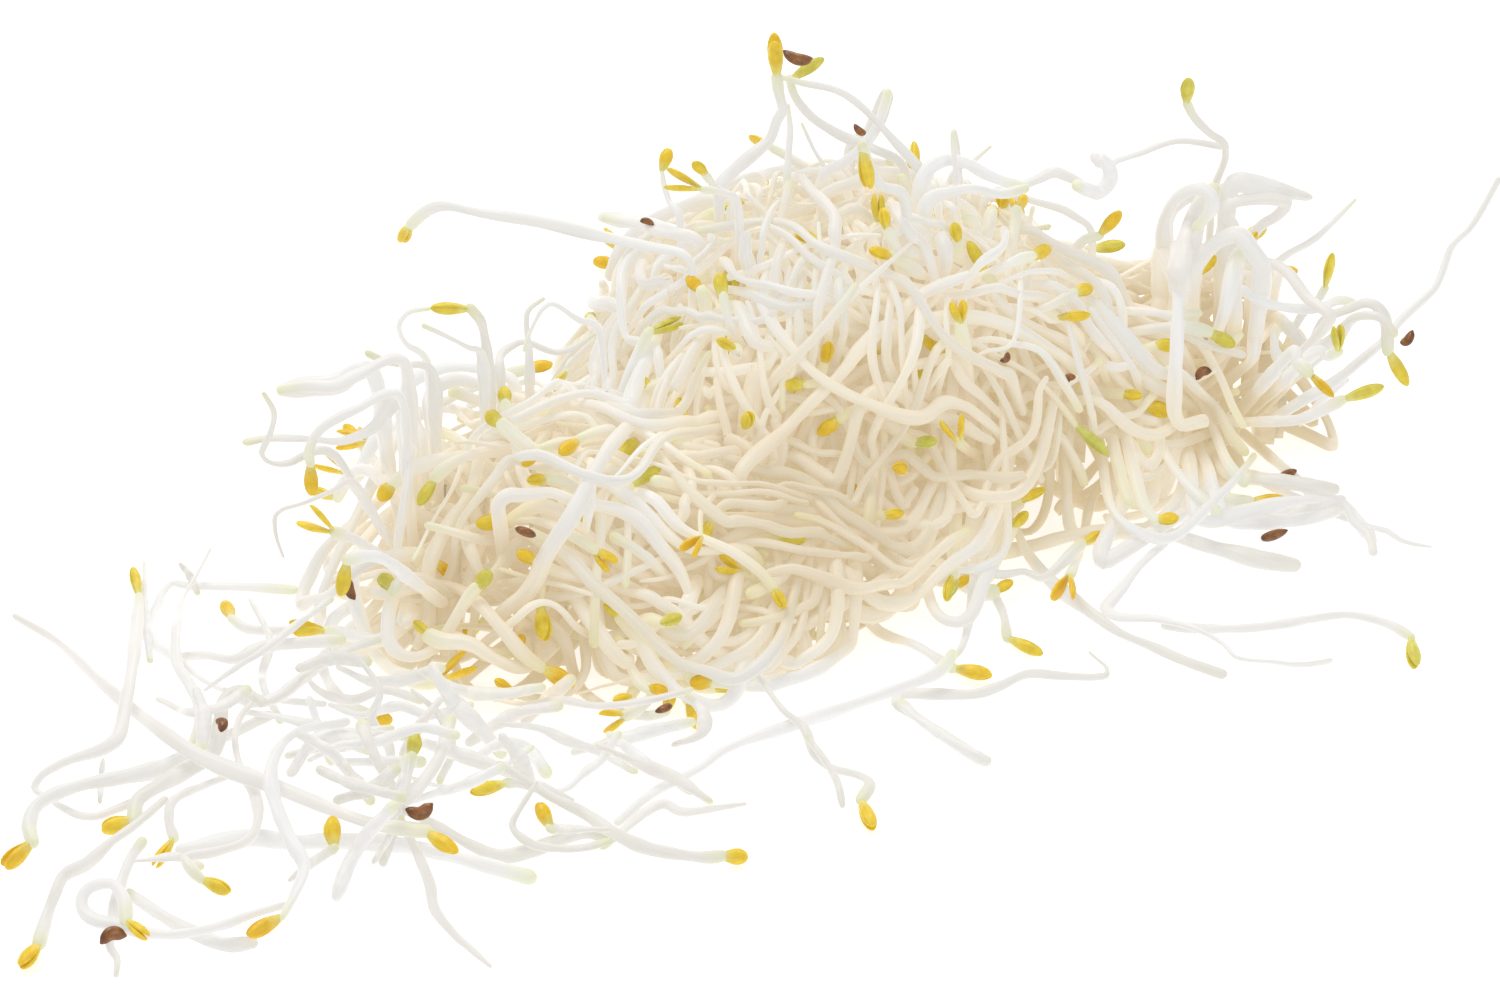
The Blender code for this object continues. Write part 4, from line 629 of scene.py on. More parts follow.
def on_heap(place, lift):
    """The nearest point seen at place that is lift above the heap or the surface."""
    eye, direction = sight_line(place)
    reach = np.linspace(VIEW_DISTANCE - SIGHT_SPAN, VIEW_DISTANCE + SIGHT_SPAN, SIGHT_STEPS)[:, None]
    points = eye + direction * reach
    above = points[:, 2] - heap_height(points[:, 0], points[:, 1]) - lift
    return points[np.argmax(above <= 0)]


def at_depth(place, y):
    """The point seen at place that is y away from the front."""
    eye, direction = sight_line(place)
    return eye + direction * (y - eye[1]) / direction[1]


def curve(a, b, c, d, t):
    """The smooth curve from b to c, with a before them and d after, at shares t of the way."""
    return 0.5 * (2 * b + (c - a) * t + (2 * a - 5 * b + 4 * c - d) * t**2
                  + (3 * b - a - 3 * c + d) * t**3)


def evenly(points, count):
    """A smooth line through the points, as count points at equal steps."""
    points = np.asarray(points, float)
    ends = [2 * points[0] - points[1]], [2 * points[-1] - points[-2]]
    spread = np.concatenate([ends[0], points, ends[1]])
    t = np.linspace(0, 1, 12, endpoint=False)[:, None]
    dense = [curve(*four, t) for four in zip(spread, spread[1:], spread[2:], spread[3:])]
    dense = np.concatenate(dense + [points[-1:]])
    walked = np.append(0, np.cumsum(np.linalg.norm(np.diff(dense, axis=0), axis=1)))
    wanted = np.linspace(0, walked[-1], count)
    return np.stack([np.interp(wanted, walked, dense[:, axis]) for axis in range(3)], 1)


def widths(width, root, top="open", headed=True):
    """Half width at each knot: a root that tapers, a slight swelling, a stem and a neck."""
    share = np.linspace(0, 1, KNOTS)
    if root == "sunk" and top == "open" and not headed:
        share = 1 - share
        root = "tip"
    if root == "tip":
        profile = np.interp(share, [0, 0.12, 0.45, 0.62, 1], [0, 0.4, 1.08, 1.0, 0.85])
    elif root == "blunt":
        profile = np.interp(share, [0, 0.06, 0.3, 1], [BLUNT_TIP_SHARE, 1.05, 1.0, 0.85])
    else:
        profile = np.interp(share, [0, 0.5, 1], [1.05, 1.0, 0.85])
    return np.maximum(profile * width, ROOT_TIP_WIDTH) / 2


def heart_of_heap(point):
    """A place low inside the heap near the point, for a hidden end to head for."""
    middle_x, middle_y, half_length, half_depth, height = min(
        (MOUNDS[name] for name in CORE_MOUNDS),
        key=lambda mound: math.hypot(point[0] - mound[0], point[1] - mound[1]),
    )
    across = (point[0] - middle_x) / half_length
    back = (point[1] - middle_y) / half_depth
    nearer = min(1, HEART_SPAN / max(math.hypot(across, back), 0.01))
    return np.array([middle_x + across * nearer * half_length,
                     middle_y + back * nearer * half_depth, HEART_RISE * height])


def in_core(point):
    """Whether the point is well inside one of the mounds of the core."""
    for middle_x, middle_y, half_length, half_depth, height in map(MOUNDS.get, CORE_MOUNDS):
        out = math.hypot((point[0] - middle_x) / (half_length * CORE_SPAN),
                         (point[1] - middle_y) / (half_depth * CORE_SPAN),
                         point[2] / (height * CORE_RISE))
        if out < WELL_INSIDE:
            return True
    return False


def down_to_core(point):
    """Two places beyond the point for a hidden end, the further one inside the core."""
    inward = heart_of_heap(point) - point
    for share in WAYS_DOWN:
        if in_core(point + inward * share):
            break
    return [point + inward * share * 0.5, point + inward * share]


def traced(seen):
    """The sprout that shows in the picture along a route."""
    places = seen.route + ([seen.tip] if seen.tip else [])
    share = np.linspace(0, 1, len(places))
    place_at, (first, last) = (at_depth, seen.depth) if seen.depth else (on_heap, seen.lift)
    points = [place_at(p, first + (last - first) * s) for p, s in zip(places, share)]
    tip = points.pop() if seen.tip else None
    sight = [sight_line(p)[1] for p in seen.route]
    if seen.root == "sunk":
        points = down_to_core(points[0])[::-1] + points
        sight = [sight[0]] * 2 + sight
    if seen.top == "sunk":
        points = points + down_to_core(points[-1])
        sight = sight + [sight[-1]] * 2
    profile = widths(seen.width, seen.root, seen.top, seen.tip is not None)
    return Sprout(evenly(points, KNOTS), profile, tip, evenly(sight, KNOTS))


def grown(neck, away, length, rng):
    """A sprout laid over the heap from its neck, in the direction away, then down into it."""
    step = length / (KNOTS - 1)
    wave = rng.uniform(*GROWN_WAVES)
    turn = rng.uniform(*GROWN_TURNS)
    phase = rng.uniform(0, 2 * math.pi)
    heading = math.atan2(away[1], away[0])
    x, y = neck[0], neck[1]
    lift = neck[2] - float(heap_height(x, y))
    points = []
    for knot in range(KNOTS):
        share = knot / (KNOTS - 1)
        height = float(heap_height(x, y))
        points.append((x, y, max(height * (1 - 0.6 * share) + lift * (1 - share), LEAST_REST)))
        heading += step * turn * math.sin(2 * math.pi * knot * step / wave + phase)
        if height < EDGE_HEIGHT:
            target = heart_of_heap((x, y, height))
            home = math.atan2(target[1] - y, target[0] - x)
            heading += step * TURN_HOME * math.remainder(home - heading, 2 * math.pi)
        x += step * GROWN_STRIDE * math.cos(heading)
        y += step * GROWN_STRIDE * math.sin(heading)
    if not any(in_core(point) for point in points):
        points += down_to_core(np.array(points[-1]))
    return evenly(points[::-1], KNOTS)


def face_sprout(neck_place, tip_place, rng):
    """The sprout behind cotyledons that show on the face of the heap."""
    lift = rng.uniform(0.3, 1.2)
    neck, tip = on_heap(neck_place, lift), on_heap(tip_place, lift + 0.3)
    line = grown(neck, neck - tip, rng.uniform(*SPROUT_LENGTHS), rng)
    width = STEM_WIDTH * rng.uniform(*STEM_THICKNESSES)
    return Sprout(line, widths(width, "sunk"), tip, np.zeros((KNOTS, 3)))


def back_sprout(number, rng):
    """A sprout on the side of the heap that the picture doesn't show."""
    names = ("crown", "crown", "left", "right")
    middle_x, middle_y, half_length, half_depth, _ = MOUNDS[names[number % len(names)]]
    around = math.radians(rng.uniform(15, 165))
    out = rng.uniform(0.45, 1.35)
    x = middle_x + half_length * out * math.cos(around)
    y = middle_y + half_depth * out * math.sin(around)
    lift = rng.uniform(0.8, 3.0) + (rng.uniform(0, 4) if number % 5 == 0 else 0)
    neck = np.array([x, y, float(heap_height(x, y)) + lift])
    facing = around + rng.uniform(-1.2, 1.2)
    ahead = np.array([math.cos(facing), math.sin(facing), rng.uniform(-0.3, 0.4)])
    line = grown(neck, -ahead, rng.uniform(*SPROUT_LENGTHS), rng)
    tip = neck + ahead / np.linalg.norm(ahead) * COTYLEDON_LENGTH
    tip[2] = max(tip[2], COTYLEDON_THICKNESS / 2)
    width = STEM_WIDTH * rng.uniform(*STEM_THICKNESSES)
    return Sprout(line, widths(width, "sunk"), tip, np.zeros((KNOTS, 3)))


def close_pairs(points, owner, reach):
    """Pairs of points of different sprouts that are nearer than reach to each other."""
    cell = np.floor(points / reach).astype(np.int64)
    cell -= cell.min(0) - 1
    spans = cell.max(0) + 2
    key = (cell[:, 0] * spans[1] + cell[:, 1]) * spans[2] + cell[:, 2]
    order = np.argsort(key, kind="stable")
    ranked = key[order]
    found = []
    for offset in np.ndindex(3, 3, 3):
        dx, dy, dz = np.array(offset) - 1
        wanted = key + (dx * spans[1] + dy) * spans[2] + dz
        low = np.searchsorted(ranked, wanted, "left")
        count = np.searchsorted(ranked, wanted, "right") - low
        first = np.repeat(np.arange(len(points)), count)
        within = np.arange(count.sum()) - np.repeat(np.cumsum(count) - count, count)
        second = order[np.repeat(low, count) + within]
        keep = (first < second) & (owner[first] != owner[second])
        found.append((first[keep], second[keep]))
    first = np.concatenate([pair[0] for pair in found])
    second = np.concatenate([pair[1] for pair in found])
    near = np.linalg.norm(points[first] - points[second], axis=1) < reach
    return first[near], second[near]


def with_head(sprout):
    """The sprout's line and half widths, carried on through its cotyledons."""
    neck = sprout.line[-1]
    ahead = np.zeros(3) if sprout.tip is None else sprout.tip - neck
    half = ROOT_TIP_WIDTH / 2 if sprout.tip is None else COTYLEDON_WIDTH / 2
    beyond = [neck + ahead * share for share in HEAD_KNOTS]
    return np.vstack([sprout.line, beyond]), np.append(sprout.radius, [half] * len(beyond))


def pushes(points, sight, owner, first, second, radius):
    """How far each pair of points has to be moved apart, half of it for each.

    Points of sprouts traced from the picture are pushed along the line of sight, and one
    sprout of a pair goes over the other for all of its length.
    """
    apart = points[second] - points[first]
    room = radius[first] + radius[second] + CLEARANCE
    distance = np.maximum(np.linalg.norm(apart, axis=1), LEAST_SPAN)
    straight = np.clip(room - distance, 0, None) / distance
    line = sight[first] + sight[second]
    span = np.linalg.norm(line, axis=1)
    line = line / np.maximum(span, LEAST_SPAN)[:, None]
    along = (apart * line).sum(1)
    aside = distance**2 - along**2
    pair = owner[first] * (owner[-1] + 1) + owner[second]
    _, group = np.unique(pair, return_inverse=True)
    lean = np.bincount(group, along)[group] + LEAST_SPAN
    over = np.where(lean > 0, 1, -1)
    needed = np.sqrt(np.clip(room**2 - aside, 0, None)) - along * over
    sidelong = np.clip(needed, 0, MOST_PUSH) * over
    return 0.5 * np.where(span[:, None] > 0.5, line * sidelong[:, None],
                          apart * straight[:, None])


def shifted(sprout, by):
    """The sprout moved bodily."""
    tip = None if sprout.tip is None else sprout.tip + by
    return sprout._replace(line=sprout.line + by, tip=tip)


def ease_apart(sprouts, still=()):
    """Moves sprouts that cross until they pass over and under each other, clear.

    Those that are still make room for nothing, and aren't in the result. A sprout traced from
    the picture moves only along the lines of sight, so that it still shows where it did. No
    sprout goes below the surface, and ends in the core stay there.
    """
    everyone = [*still, *sprouts]
    start = np.stack([with_head(sprout)[0] for sprout in everyone])
    radius = np.stack([with_head(sprout)[1] for sprout in everyone])
    held = np.stack([np.vstack([s.held, [s.held[-1]] * len(HEAD_KNOTS)]) for s in everyone])
    owner = np.repeat(np.arange(len(everyone)), start.shape[1])
    reach = 2 * radius.max() + CLEARANCE
    is_held = (np.abs(held).sum(2, keepdims=True) > 0) * 1.0
    sight = held.reshape(-1, 3)
    is_free = np.array([[[not in_core(point)] for point in line] for line in start])
    is_free[:len(still)] = False
    shift = np.zeros_like(start)
    for _ in range(FILL_ROUNDS if len(still) else EASING_ROUNDS):
        points = (start + shift).reshape(-1, 3)
        first, second = close_pairs(points, owner, reach)
        push = pushes(points, sight, owner, first, second, radius.ravel())
        moved = np.zeros_like(points)
        np.add.at(moved, first, -push)
        np.add.at(moved, second, push)
        shift = shift + np.clip(moved.reshape(shift.shape), -MOST_MOVE, MOST_MOVE)
        along = (shift * held).sum(2, keepdims=True) * held
        shift = along * is_held + shift * (1 - is_held)
        shift[:, 1:-1] = 0.25 * shift[:, :-2] + 0.5 * shift[:, 1:-1] + 0.25 * shift[:, 2:]
        shift[:, 0] = 0.5 * (shift[:, 0] + shift[:, 1])
        shift[:, -1] = 0.5 * (shift[:, -1] + shift[:, -2])
        too_low = radius + 0.05 - (start + shift)[:, :, 2]
        shift[:, :, 2] += np.clip(too_low, 0, None)
        if len(still):
            points = start + shift
            ceiling = heap_height(points[:, :, 0], points[:, :, 1]) + FILL_PUFF
            too_high = np.clip(points[:, :, 2] - ceiling, 0, 0.3) * (1 - is_held[:, :, 0])
            shift[:, :, 2] -= too_high
        shift = shift * is_free
    eased = []
    for sprout, points in zip(sprouts, (start + shift)[len(still):]):
        line = points[:KNOTS]
        tip = None
        if sprout.tip is not None:
            tip = line[-1] + (points[-1] - line[-1]) / HEAD_KNOTS[-1]
            tip[2] = max(tip[2], COTYLEDON_THICKNESS / 2 + 0.05)
        eased.append(sprout._replace(line=line, tip=tip))
    return eased


def middle_of(sprouts):
    """The x and y of the middle of the box round the sprouts."""
    low = np.min([np.min(s.line[:, :2] - s.radius[:, None], 0) for s in sprouts], 0)
    high = np.max([np.max(s.line[:, :2] + s.radius[:, None], 0) for s in sprouts], 0)
    tips = np.array([s.tip[:2] for s in sprouts if s.tip is not None])
    return np.array([*(np.minimum(low, tips.min(0)) + np.maximum(high, tips.max(0))) / 2, 0])


def lay_out():
    """Every sprout in place: the loose ones, then those of the tangle."""
    head_rng = np.random.default_rng(HEAD_SEED)
    back_rng = np.random.default_rng(BACK_SEED)
    sprouts = [traced(seen) for seen in LOOSE.values()]
    sprouts += [traced(seen) for seen in TANGLED]
    sprouts += [face_sprout(neck, tip, head_rng) for neck, tip in FACE_HEADS]
    sprouts += [back_sprout(number, back_rng) for number in range(BACK_SPROUTS)]
    sprouts = ease_apart(sprouts)
    middle = middle_of(sprouts)
    return [shifted(sprout, -middle) for sprout in sprouts], middle


def wander(x, y, layer, length, rng):
    """A line that runs over the heap at one layer, bending as it goes."""
    step = length / (KNOTS - 1)
    heading = rng.uniform(0, 2 * math.pi)
    bend = rng.uniform(-FILL_BEND, FILL_BEND)
    waves = rng.uniform(*FILL_WAVES, 2)
    phases = rng.uniform(0, 2 * math.pi, 4)
    turn = rng.uniform(*FILL_TURNS)
    depth = rng.uniform(*FILL_RISES)
    kinks = rng.choice(KNOTS, rng.integers(1, 4), replace=False)
    edge_turn = rng.uniform(*FILL_EDGE_TURNS)
    points = []
    for knot in range(KNOTS):
        if knot in kinks:
            heading += rng.uniform(-FILL_KINK, FILL_KINK)
        walked = knot * step
        height = float(heap_height(x, y))
        rise = depth * math.sin(2 * math.pi * walked / waves[1] + phases[1])
        points.append((x, y, max(height * layer + rise, LEAST_REST)))
        heading += step * (bend + turn * math.sin(2 * math.pi * walked / waves[0] + phases[0]))
        next_x, next_y = x + LOOK_AHEAD * math.cos(heading), y + LOOK_AHEAD * math.sin(heading)
        if heap_height(next_x, next_y) < FILL_LEAST_HEIGHT:
            middle = heart_of_heap((x, y, height))
            home = math.atan2(middle[1] - y, middle[0] - x)
            aside = math.remainder(heading - home, 2 * math.pi)
            heading += 0.5 * (math.copysign(edge_turn, aside) - aside)
        ahead = float(heap_height(x + math.cos(heading), y + math.sin(heading)))
        stride = step / math.hypot(1, (ahead - height) * layer)
        x += stride * math.cos(heading)
        y += stride * math.sin(heading)
    bends = sorted({0, KNOTS - 1, *rng.choice(np.arange(4, KNOTS - 4), FILL_BENDS)})
    points = np.array(points)
    line = np.stack([np.interp(np.arange(KNOTS), bends, points[bends, axis])
                     for axis in range(3)], 1)
    line[1:-1] = 0.25 * line[:-2] + 0.5 * line[1:-1] + 0.25 * line[2:]
    return evenly(line, KNOTS)


def laid_line(rng):
    """A line somewhere in the heap's outer layers that stays in the heap, and its layer."""
    layers, shares = zip(*FILL_LAYERS)
    while True:
        x, y = (rng.uniform(*span) for span in FILL_BOX)
        height = float(heap_height(x, y))
        slope = math.hypot(float(heap_height(x + 1, y)) - height,
                           float(heap_height(x, y + 1)) - height)
        if height < FILL_LEAST_HEIGHT or rng.uniform(0, FILL_STEEPNESS) > math.hypot(1, slope):
            continue
        if closes_gap(np.array([[x, y, height]])):
            continue
        layer = rng.choice(layers, p=shares)
        line = wander(x, y, layer, rng.uniform(*FILL_LENGTHS), rng)
        if heap_height(line[:, 0], line[:, 1]).min() > FILL_EDGE_HEIGHT and not closes_gap(line):
            return line, layer


def filler(rng):
    """A sprout somewhere in the heap's outer layers, with its cotyledons or without."""
    line, layer = laid_line(rng)
    tip = None
    if rng.uniform() < FILL_HEADED and layer == 1.0:
        ahead = line[-1] - line[-4]
        ahead = ahead / np.linalg.norm(ahead) + rng.uniform(-0.8, 0.8, 3)
        ahead[2] += 0.3
        tip = line[-1] + ahead / np.linalg.norm(ahead) * COTYLEDON_LENGTH * rng.uniform(0.8, 1.1)
        tip[2] = max(tip[2], COTYLEDON_THICKNESS)
    root = "tip" if rng.uniform() < FILL_TAPERED else "blunt"
    radius = widths(rng.uniform(*FILL_WIDTHS), root)
    return Sprout(line, radius, tip, np.zeros((KNOTS, 3)))


def fill_in(still):
    """Everything the solids leave out, eased clear of the sprouts that are still."""
    rng = np.random.default_rng(FILL_SEED)
    more = [traced(seen) for seen in MORE_STRANDS]
    more += [face_sprout(neck, tip, rng) for neck, tip, _ in MORE_HEADS]
    more += [filler(rng) for _ in range(FILLERS)]
    return ease_apart(more, still)


def placed(name, data):
    """An object in the scene that holds the data."""
    obj = bpy.data.objects.new(name, data)
    bpy.context.scene.collection.objects.link(obj)
    return obj


def surface(name, points, faces, finish):
    """A smooth shaded object of one material, from points in millimetres."""
    mesh = bpy.data.meshes.new(name)
    mesh.from_pydata((points * MM).tolist(), [], faces)
    mesh.polygons.foreach_set("use_smooth", [True] * len(mesh.polygons))
    mesh.materials.append(finish)
    return placed(name, mesh)


def smoothed(values, detail):
    """Values at the knots, carried smoothly to detail rings for each knot."""
    last = len(values) - 1
    wanted = np.linspace(0, last, detail * last + 1)
    low = np.clip(np.floor(wanted).astype(int), 0, last - 1)
    before, after = np.clip(low - 1, 0, last), np.clip(low + 2, 0, last)
    return curve(values[before], values[low], values[low + 1], values[after],
                 (wanted - low)[:, None])


def frames_along(line):
    """Two directions across the line at each point, turning as little as possible."""
    ahead = np.gradient(line, axis=0)
    ahead /= np.maximum(np.linalg.norm(ahead, axis=1), 1e-9)[:, None]
    side = np.cross(ahead[0], (0, 0, 1.0) if abs(ahead[0][2]) < 0.9 else (1.0, 0, 0))
    sides = np.empty_like(line)
    for index, way in enumerate(ahead):
        side = side - way * side.dot(way)
        side = side / np.linalg.norm(side)
        sides[index] = side
    return ahead, sides, np.cross(ahead, sides)


def painted_shade_share(points):
    """How much painted shade points get, from 0 outside the heap to 1 well inside it: more the deeper they
    lie and the more heap stands behind them on the side away from the light, fading out at the heap's rim
    and painted lighter towards the left.
    """
    x, y, z = points.T
    height = heap_height(x, y)
    depth = np.clip((height + 2.0 - z) / (0.3 * height + 4.0), 0, 1)
    behind = np.max([heap_height(x, y + step) for step in LEE_STEPS], axis=0) - z
    lee = np.interp(behind, LEE_RISE, (0, LEE_WEIGHT))
    least = LEAST_PAINTED_SHADE * np.clip((height + 3.0 - z) / 2.5, 0, 1)
    outside = np.min([outness(MOUNDS[name], x, y) for name in CORE_MOUNDS], axis=0)
    share = np.clip(depth * (1 - LEE_WEIGHT / 2) + lee, least, 1)
    return share * np.interp(outside, HEAP_RIM, (1, 0)) * np.interp(x, *PAINTED_LIGHT_ON_LEFT)


class Skin:
    """Rings of points gathered into one mesh, with values for its material to read."""

    def __init__(self, middle):
        self.middle = middle
        self.points, self.faces = [], []
        self.along, self.around, self.tone, self.painted_shade = [], [], [], []
        self.count = 0

    def add(self, rings, along, tone):
        """A closed skin over rings of points, its first and last ring each drawn shut."""
        steps, sides = rings.shape[:2]
        start = self.count
        for step in range(steps - 1):
            low = start + step * sides
            for side in range(sides):
                beside = (side + 1) % sides
                self.faces.append((low + side, low + beside, low + sides + beside,
                                   low + sides + side))
        self.faces.append(tuple(range(start + sides - 1, start - 1, -1)))
        last = start + (steps - 1) * sides
        self.faces.append(tuple(range(last, last + sides)))
        self.points.append(rings.reshape(-1, 3))
        self.along.append(np.repeat(along, sides))
        self.around.append(np.tile(np.linspace(0, 1, sides, endpoint=False), steps))
        self.tone.append(np.full(steps * sides, tone))
        # The painted shade share at each point, which the stem material reads.
        self.painted_shade.append(painted_shade_share(self.points[-1] + self.middle))
        self.count += steps * sides

    def build(self, name, finish):
        """The skins as one object that carries its values for the material."""
        obj = surface(name, np.concatenate(self.points), self.faces, finish)
        for label in ("along", "around", "tone", "painted_shade"):
            layer = obj.data.attributes.new(label, "FLOAT", "POINT")
            layer.data.foreach_set("value", np.concatenate(getattr(self, label)))
        return obj


def stem_rings(sprout, detail, rng):
    """The rings of a stem: slightly flattened, uneven in width, with rounded ends."""
    per_knot, sides = detail
    line = smoothed(sprout.line, per_knot)
    radius = smoothed(sprout.radius[:, None], per_knot)[:, 0]
    share = np.linspace(0, 1, len(line))
    blunt = np.interp(2 * sprout.radius.max(), BLUNT_FROM, (0.0, 1.0))
    for end, near in ((0, share), (-1, 1 - share)):
        if sprout.radius[end] < TAPERED_END:
            pointed = radius * np.interp(near, [0, 0.08, 0.22], [0.55, 0.8, 1])
            fuller = sprout.radius.max() * np.interp(near, [0, 0.4], [0.62, 0.7])
            rounded = np.maximum(radius, fuller)
            radius = pointed + (rounded - pointed) * blunt
    wave = rng.uniform(0, 2 * math.pi, 3)
    ripple = 0.13 * np.sin(share * 15 + wave[0]) + 0.07 * np.sin(share * 41 + wave[1])
    length = np.linalg.norm(np.diff(sprout.line, axis=0), axis=1).sum()
    radius = radius * (1 + ripple * min(1, length / SPROUT_LENGTHS[0]))
    if sprout.tip is not None:
        radius = radius * np.interp(share, [0, 0.86, 0.97, 1], [1, 1, 1.22, 1.1])
    ahead, across, upward = frames_along(line)
    before = line[0] - ahead[0] * (radius[0] * END_BULGE[::-1])[:, None]
    after = line[-1] + ahead[-1] * (radius[-1] * END_BULGE)[:, None]
    shrink = np.sqrt(1 - END_BULGE**2)
    middle = np.vstack([before, line, after])
    width = np.concatenate([radius[0] * shrink[::-1], radius, radius[-1] * shrink])
    across = np.vstack([across[:1]] * 3 + [across] + [across[-1:]] * 3)
    upward = np.vstack([upward[:1]] * 3 + [upward] + [upward[-1:]] * 3)
    flat = rng.uniform(*FLATNESS)
    turn = np.linspace(0, 2 * math.pi, sides, endpoint=False)
    lean = wave[2] + np.linspace(0, rng.uniform(-4, 4), len(middle))[:, None]
    out_a = np.cos(turn) * np.cos(lean) - flat * np.sin(turn) * np.sin(lean)
    out_b = np.cos(turn) * np.sin(lean) + flat * np.sin(turn) * np.cos(lean)
    rings = (middle[:, None] + (width[:, None] * out_a)[:, :, None] * across[:, None]
             + (width[:, None] * out_b)[:, :, None] * upward[:, None])
    return rings, np.linspace(0, 1, len(middle))


def lobe_rings(neck, axis, side, face, length, width, thickness, opened):
    """One of a pair of cotyledons: domed outside, flat inside, broadest past its middle."""
    steps, sides = LOBE_DETAIL
    share = (1 - np.cos(np.linspace(0, math.pi, steps))) / 2
    spread = np.sqrt(np.clip(1 - (2 * share**1.15 - 1) ** 2, 0.004, None))
    spread = spread * np.interp(share, [0, 0.65, 1], [0.62, 1.0, 1.0])
    turn = np.linspace(0, 2 * math.pi, sides, endpoint=False)
    outward = np.where(np.sin(turn) > 0, np.sin(turn), 0.1 * np.sin(turn)) - 0.04
    angle = opened * (0.5 + 0.9 * share)
    stride = np.diff(share) * length
    run = np.append(0, np.cumsum(np.cos(angle[:-1]) * stride))
    off = np.append(0, np.cumsum(np.sin(angle[:-1]) * stride))
    middle = neck + run[:, None] * axis + off[:, None] * face
    rings = middle[:, None] + (spread[:, None] * np.cos(turn) * width / 2)[:, :, None] * side
    return rings + (spread[:, None] * outward * thickness / 2)[:, :, None] * face, share


def add_pair(skin, sprout, opened, rng):
    """The pair of cotyledons at the top of a sprout."""
    neck, tip = sprout.line[-1], sprout.tip
    axis = tip - neck
    length = float(np.clip(np.linalg.norm(axis), 0.6 * COTYLEDON_LENGTH, 1.2 * COTYLEDON_LENGTH))
    axis = axis / np.linalg.norm(axis)
    side = np.cross(axis, rng.normal(size=3))
    side = side / np.linalg.norm(side)
    face = np.cross(axis, side)
    bigness = rng.uniform(*LOBE_SIZES)
    tone = rng.uniform()
    start = neck - axis * LOBE_OVERLAP
    for way in (1, -1):
        rings, share = lobe_rings(start, axis, side * way, face * way, length + LOBE_OVERLAP,
                                  COTYLEDON_WIDTH * bigness,
                                  LOBE_THICKNESS * COTYLEDON_WIDTH * bigness, opened / 2)
        skin.add(rings, share, tone)


def coat_rings(start, end, rng):
    """A kidney-shaped seed shell, bowed between its ends and dented along one edge."""
    steps, sides = COAT_DETAIL
    axis = end - start
    length = max(np.linalg.norm(axis), 0.7 * COAT_WIDTH)
    axis = axis / np.linalg.norm(axis)
    bow = np.cross(axis, rng.normal(size=3))
    bow = bow / np.linalg.norm(bow)
    broad = np.cross(axis, bow)
    share = np.linspace(0, 1, steps)
    spread = np.sqrt(np.clip(1 - (2 * share - 1) ** 2, 0.01, None))
    turn = np.linspace(0, 2 * math.pi, sides, endpoint=False)
    notch = np.exp(-((share[:, None] - 0.45) / 0.16) ** 2)
    dent = 1 - 0.35 * notch * np.clip(-np.cos(turn), 0, 1) ** 3
    middle = start + share[:, None] * axis * length + (spread * 0.22 * length)[:, None] * bow
    wide = min(COAT_WIDTH, 0.62 * length)
    rings = middle[:, None] + (spread[:, None] * dent * np.cos(turn) * wide / 2)[:, :, None] * bow
    rings = rings + (spread[:, None] * dent * np.sin(turn) * wide * 0.35)[:, :, None] * broad
    return rings, share


def core_surface(middle):
    """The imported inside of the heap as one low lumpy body, seen only through gaps."""
    spans = [np.arange(*span, CORE_GRID) for span in CORE_BOX]
    grid_x, grid_y = np.meshgrid(*spans, indexing="ij")
    height = heap_height(grid_x, grid_y)
    ripple = np.sin(grid_x * 1.7 + 2 * np.sin(grid_y * 0.6)) + np.sin(grid_y * 1.9 + grid_x * 0.8)
    top = np.clip(height * CORE_TOP - 1.2 + CORE_RIPPLE * ripple, 0.3, None)
    inside = height > CORE_LEAST_HEIGHT
    low = in_picture(np.stack([grid_x, grid_y, 0 * top], -1))
    high = in_picture(np.stack([grid_x, grid_y, top], -1))
    for (right, down), radius in GAPS:
        room = radius + GAP_MARGIN
        beside = np.abs(low[..., 0] - right) < room
        inside &= ~(beside & (high[..., 1] < down + room) & (low[..., 1] > down - room))
    index = np.zeros(grid_x.shape, int)
    points, faces = [], []
    cells = inside[:-1, :-1] & inside[1:, :-1] & inside[:-1, 1:] & inside[1:, 1:]
    corners_used = np.zeros_like(inside)
    for dx, dy in np.ndindex(2, 2):
        corners_used[dx:cells.shape[0] + dx, dy:cells.shape[1] + dy] |= cells
    for number, (i, j) in enumerate(np.argwhere(corners_used)):
        index[i, j] = number
        points.append((grid_x[i, j], grid_y[i, j], top[i, j]))
    under = len(points)
    points += [(x, y, 0.1) for x, y, _ in points]
    for i, j in np.argwhere(cells):
        a, b, c, d = index[i, j], index[i + 1, j], index[i + 1, j + 1], index[i, j + 1]
        faces += [(a, b, c, d), (under + d, under + c, under + b, under + a)]
        for one, two, beyond in ((a, b, (i, j - 1)), (b, c, (i + 1, j)), (c, d, (i, j + 1)),
                                 (d, a, (i - 1, j))):
            if not cells[beyond]:
                faces.append((two, one, under + one, under + two))
    return np.array(points) - middle, faces


def shader_of(name):
    made = bpy.data.materials.new(name)
    made.use_nodes = True
    return made, made.node_tree, made.node_tree.nodes["Principled BSDF"]


def set_inputs(shader, values):
    for label, value in values.items():
        shader.inputs[label].default_value = value


def read_value(tree, label):
    """The value that a mesh carries under a label."""
    node = tree.nodes.new("ShaderNodeAttribute")
    node.attribute_name = label
    return node.outputs["Fac"]


def ramp(tree, value, stops):
    """A colour picked from stops, each a position and a colour."""
    node = tree.nodes.new("ShaderNodeValToRGB")
    while len(node.color_ramp.elements) < len(stops):
        node.color_ramp.elements.new(0.5)
    for element, (position, colour) in zip(node.color_ramp.elements, stops):
        element.position = position
        element.color = (*colour, 1)
    tree.links.new(value, node.inputs["Fac"])
    return node.outputs["Color"]


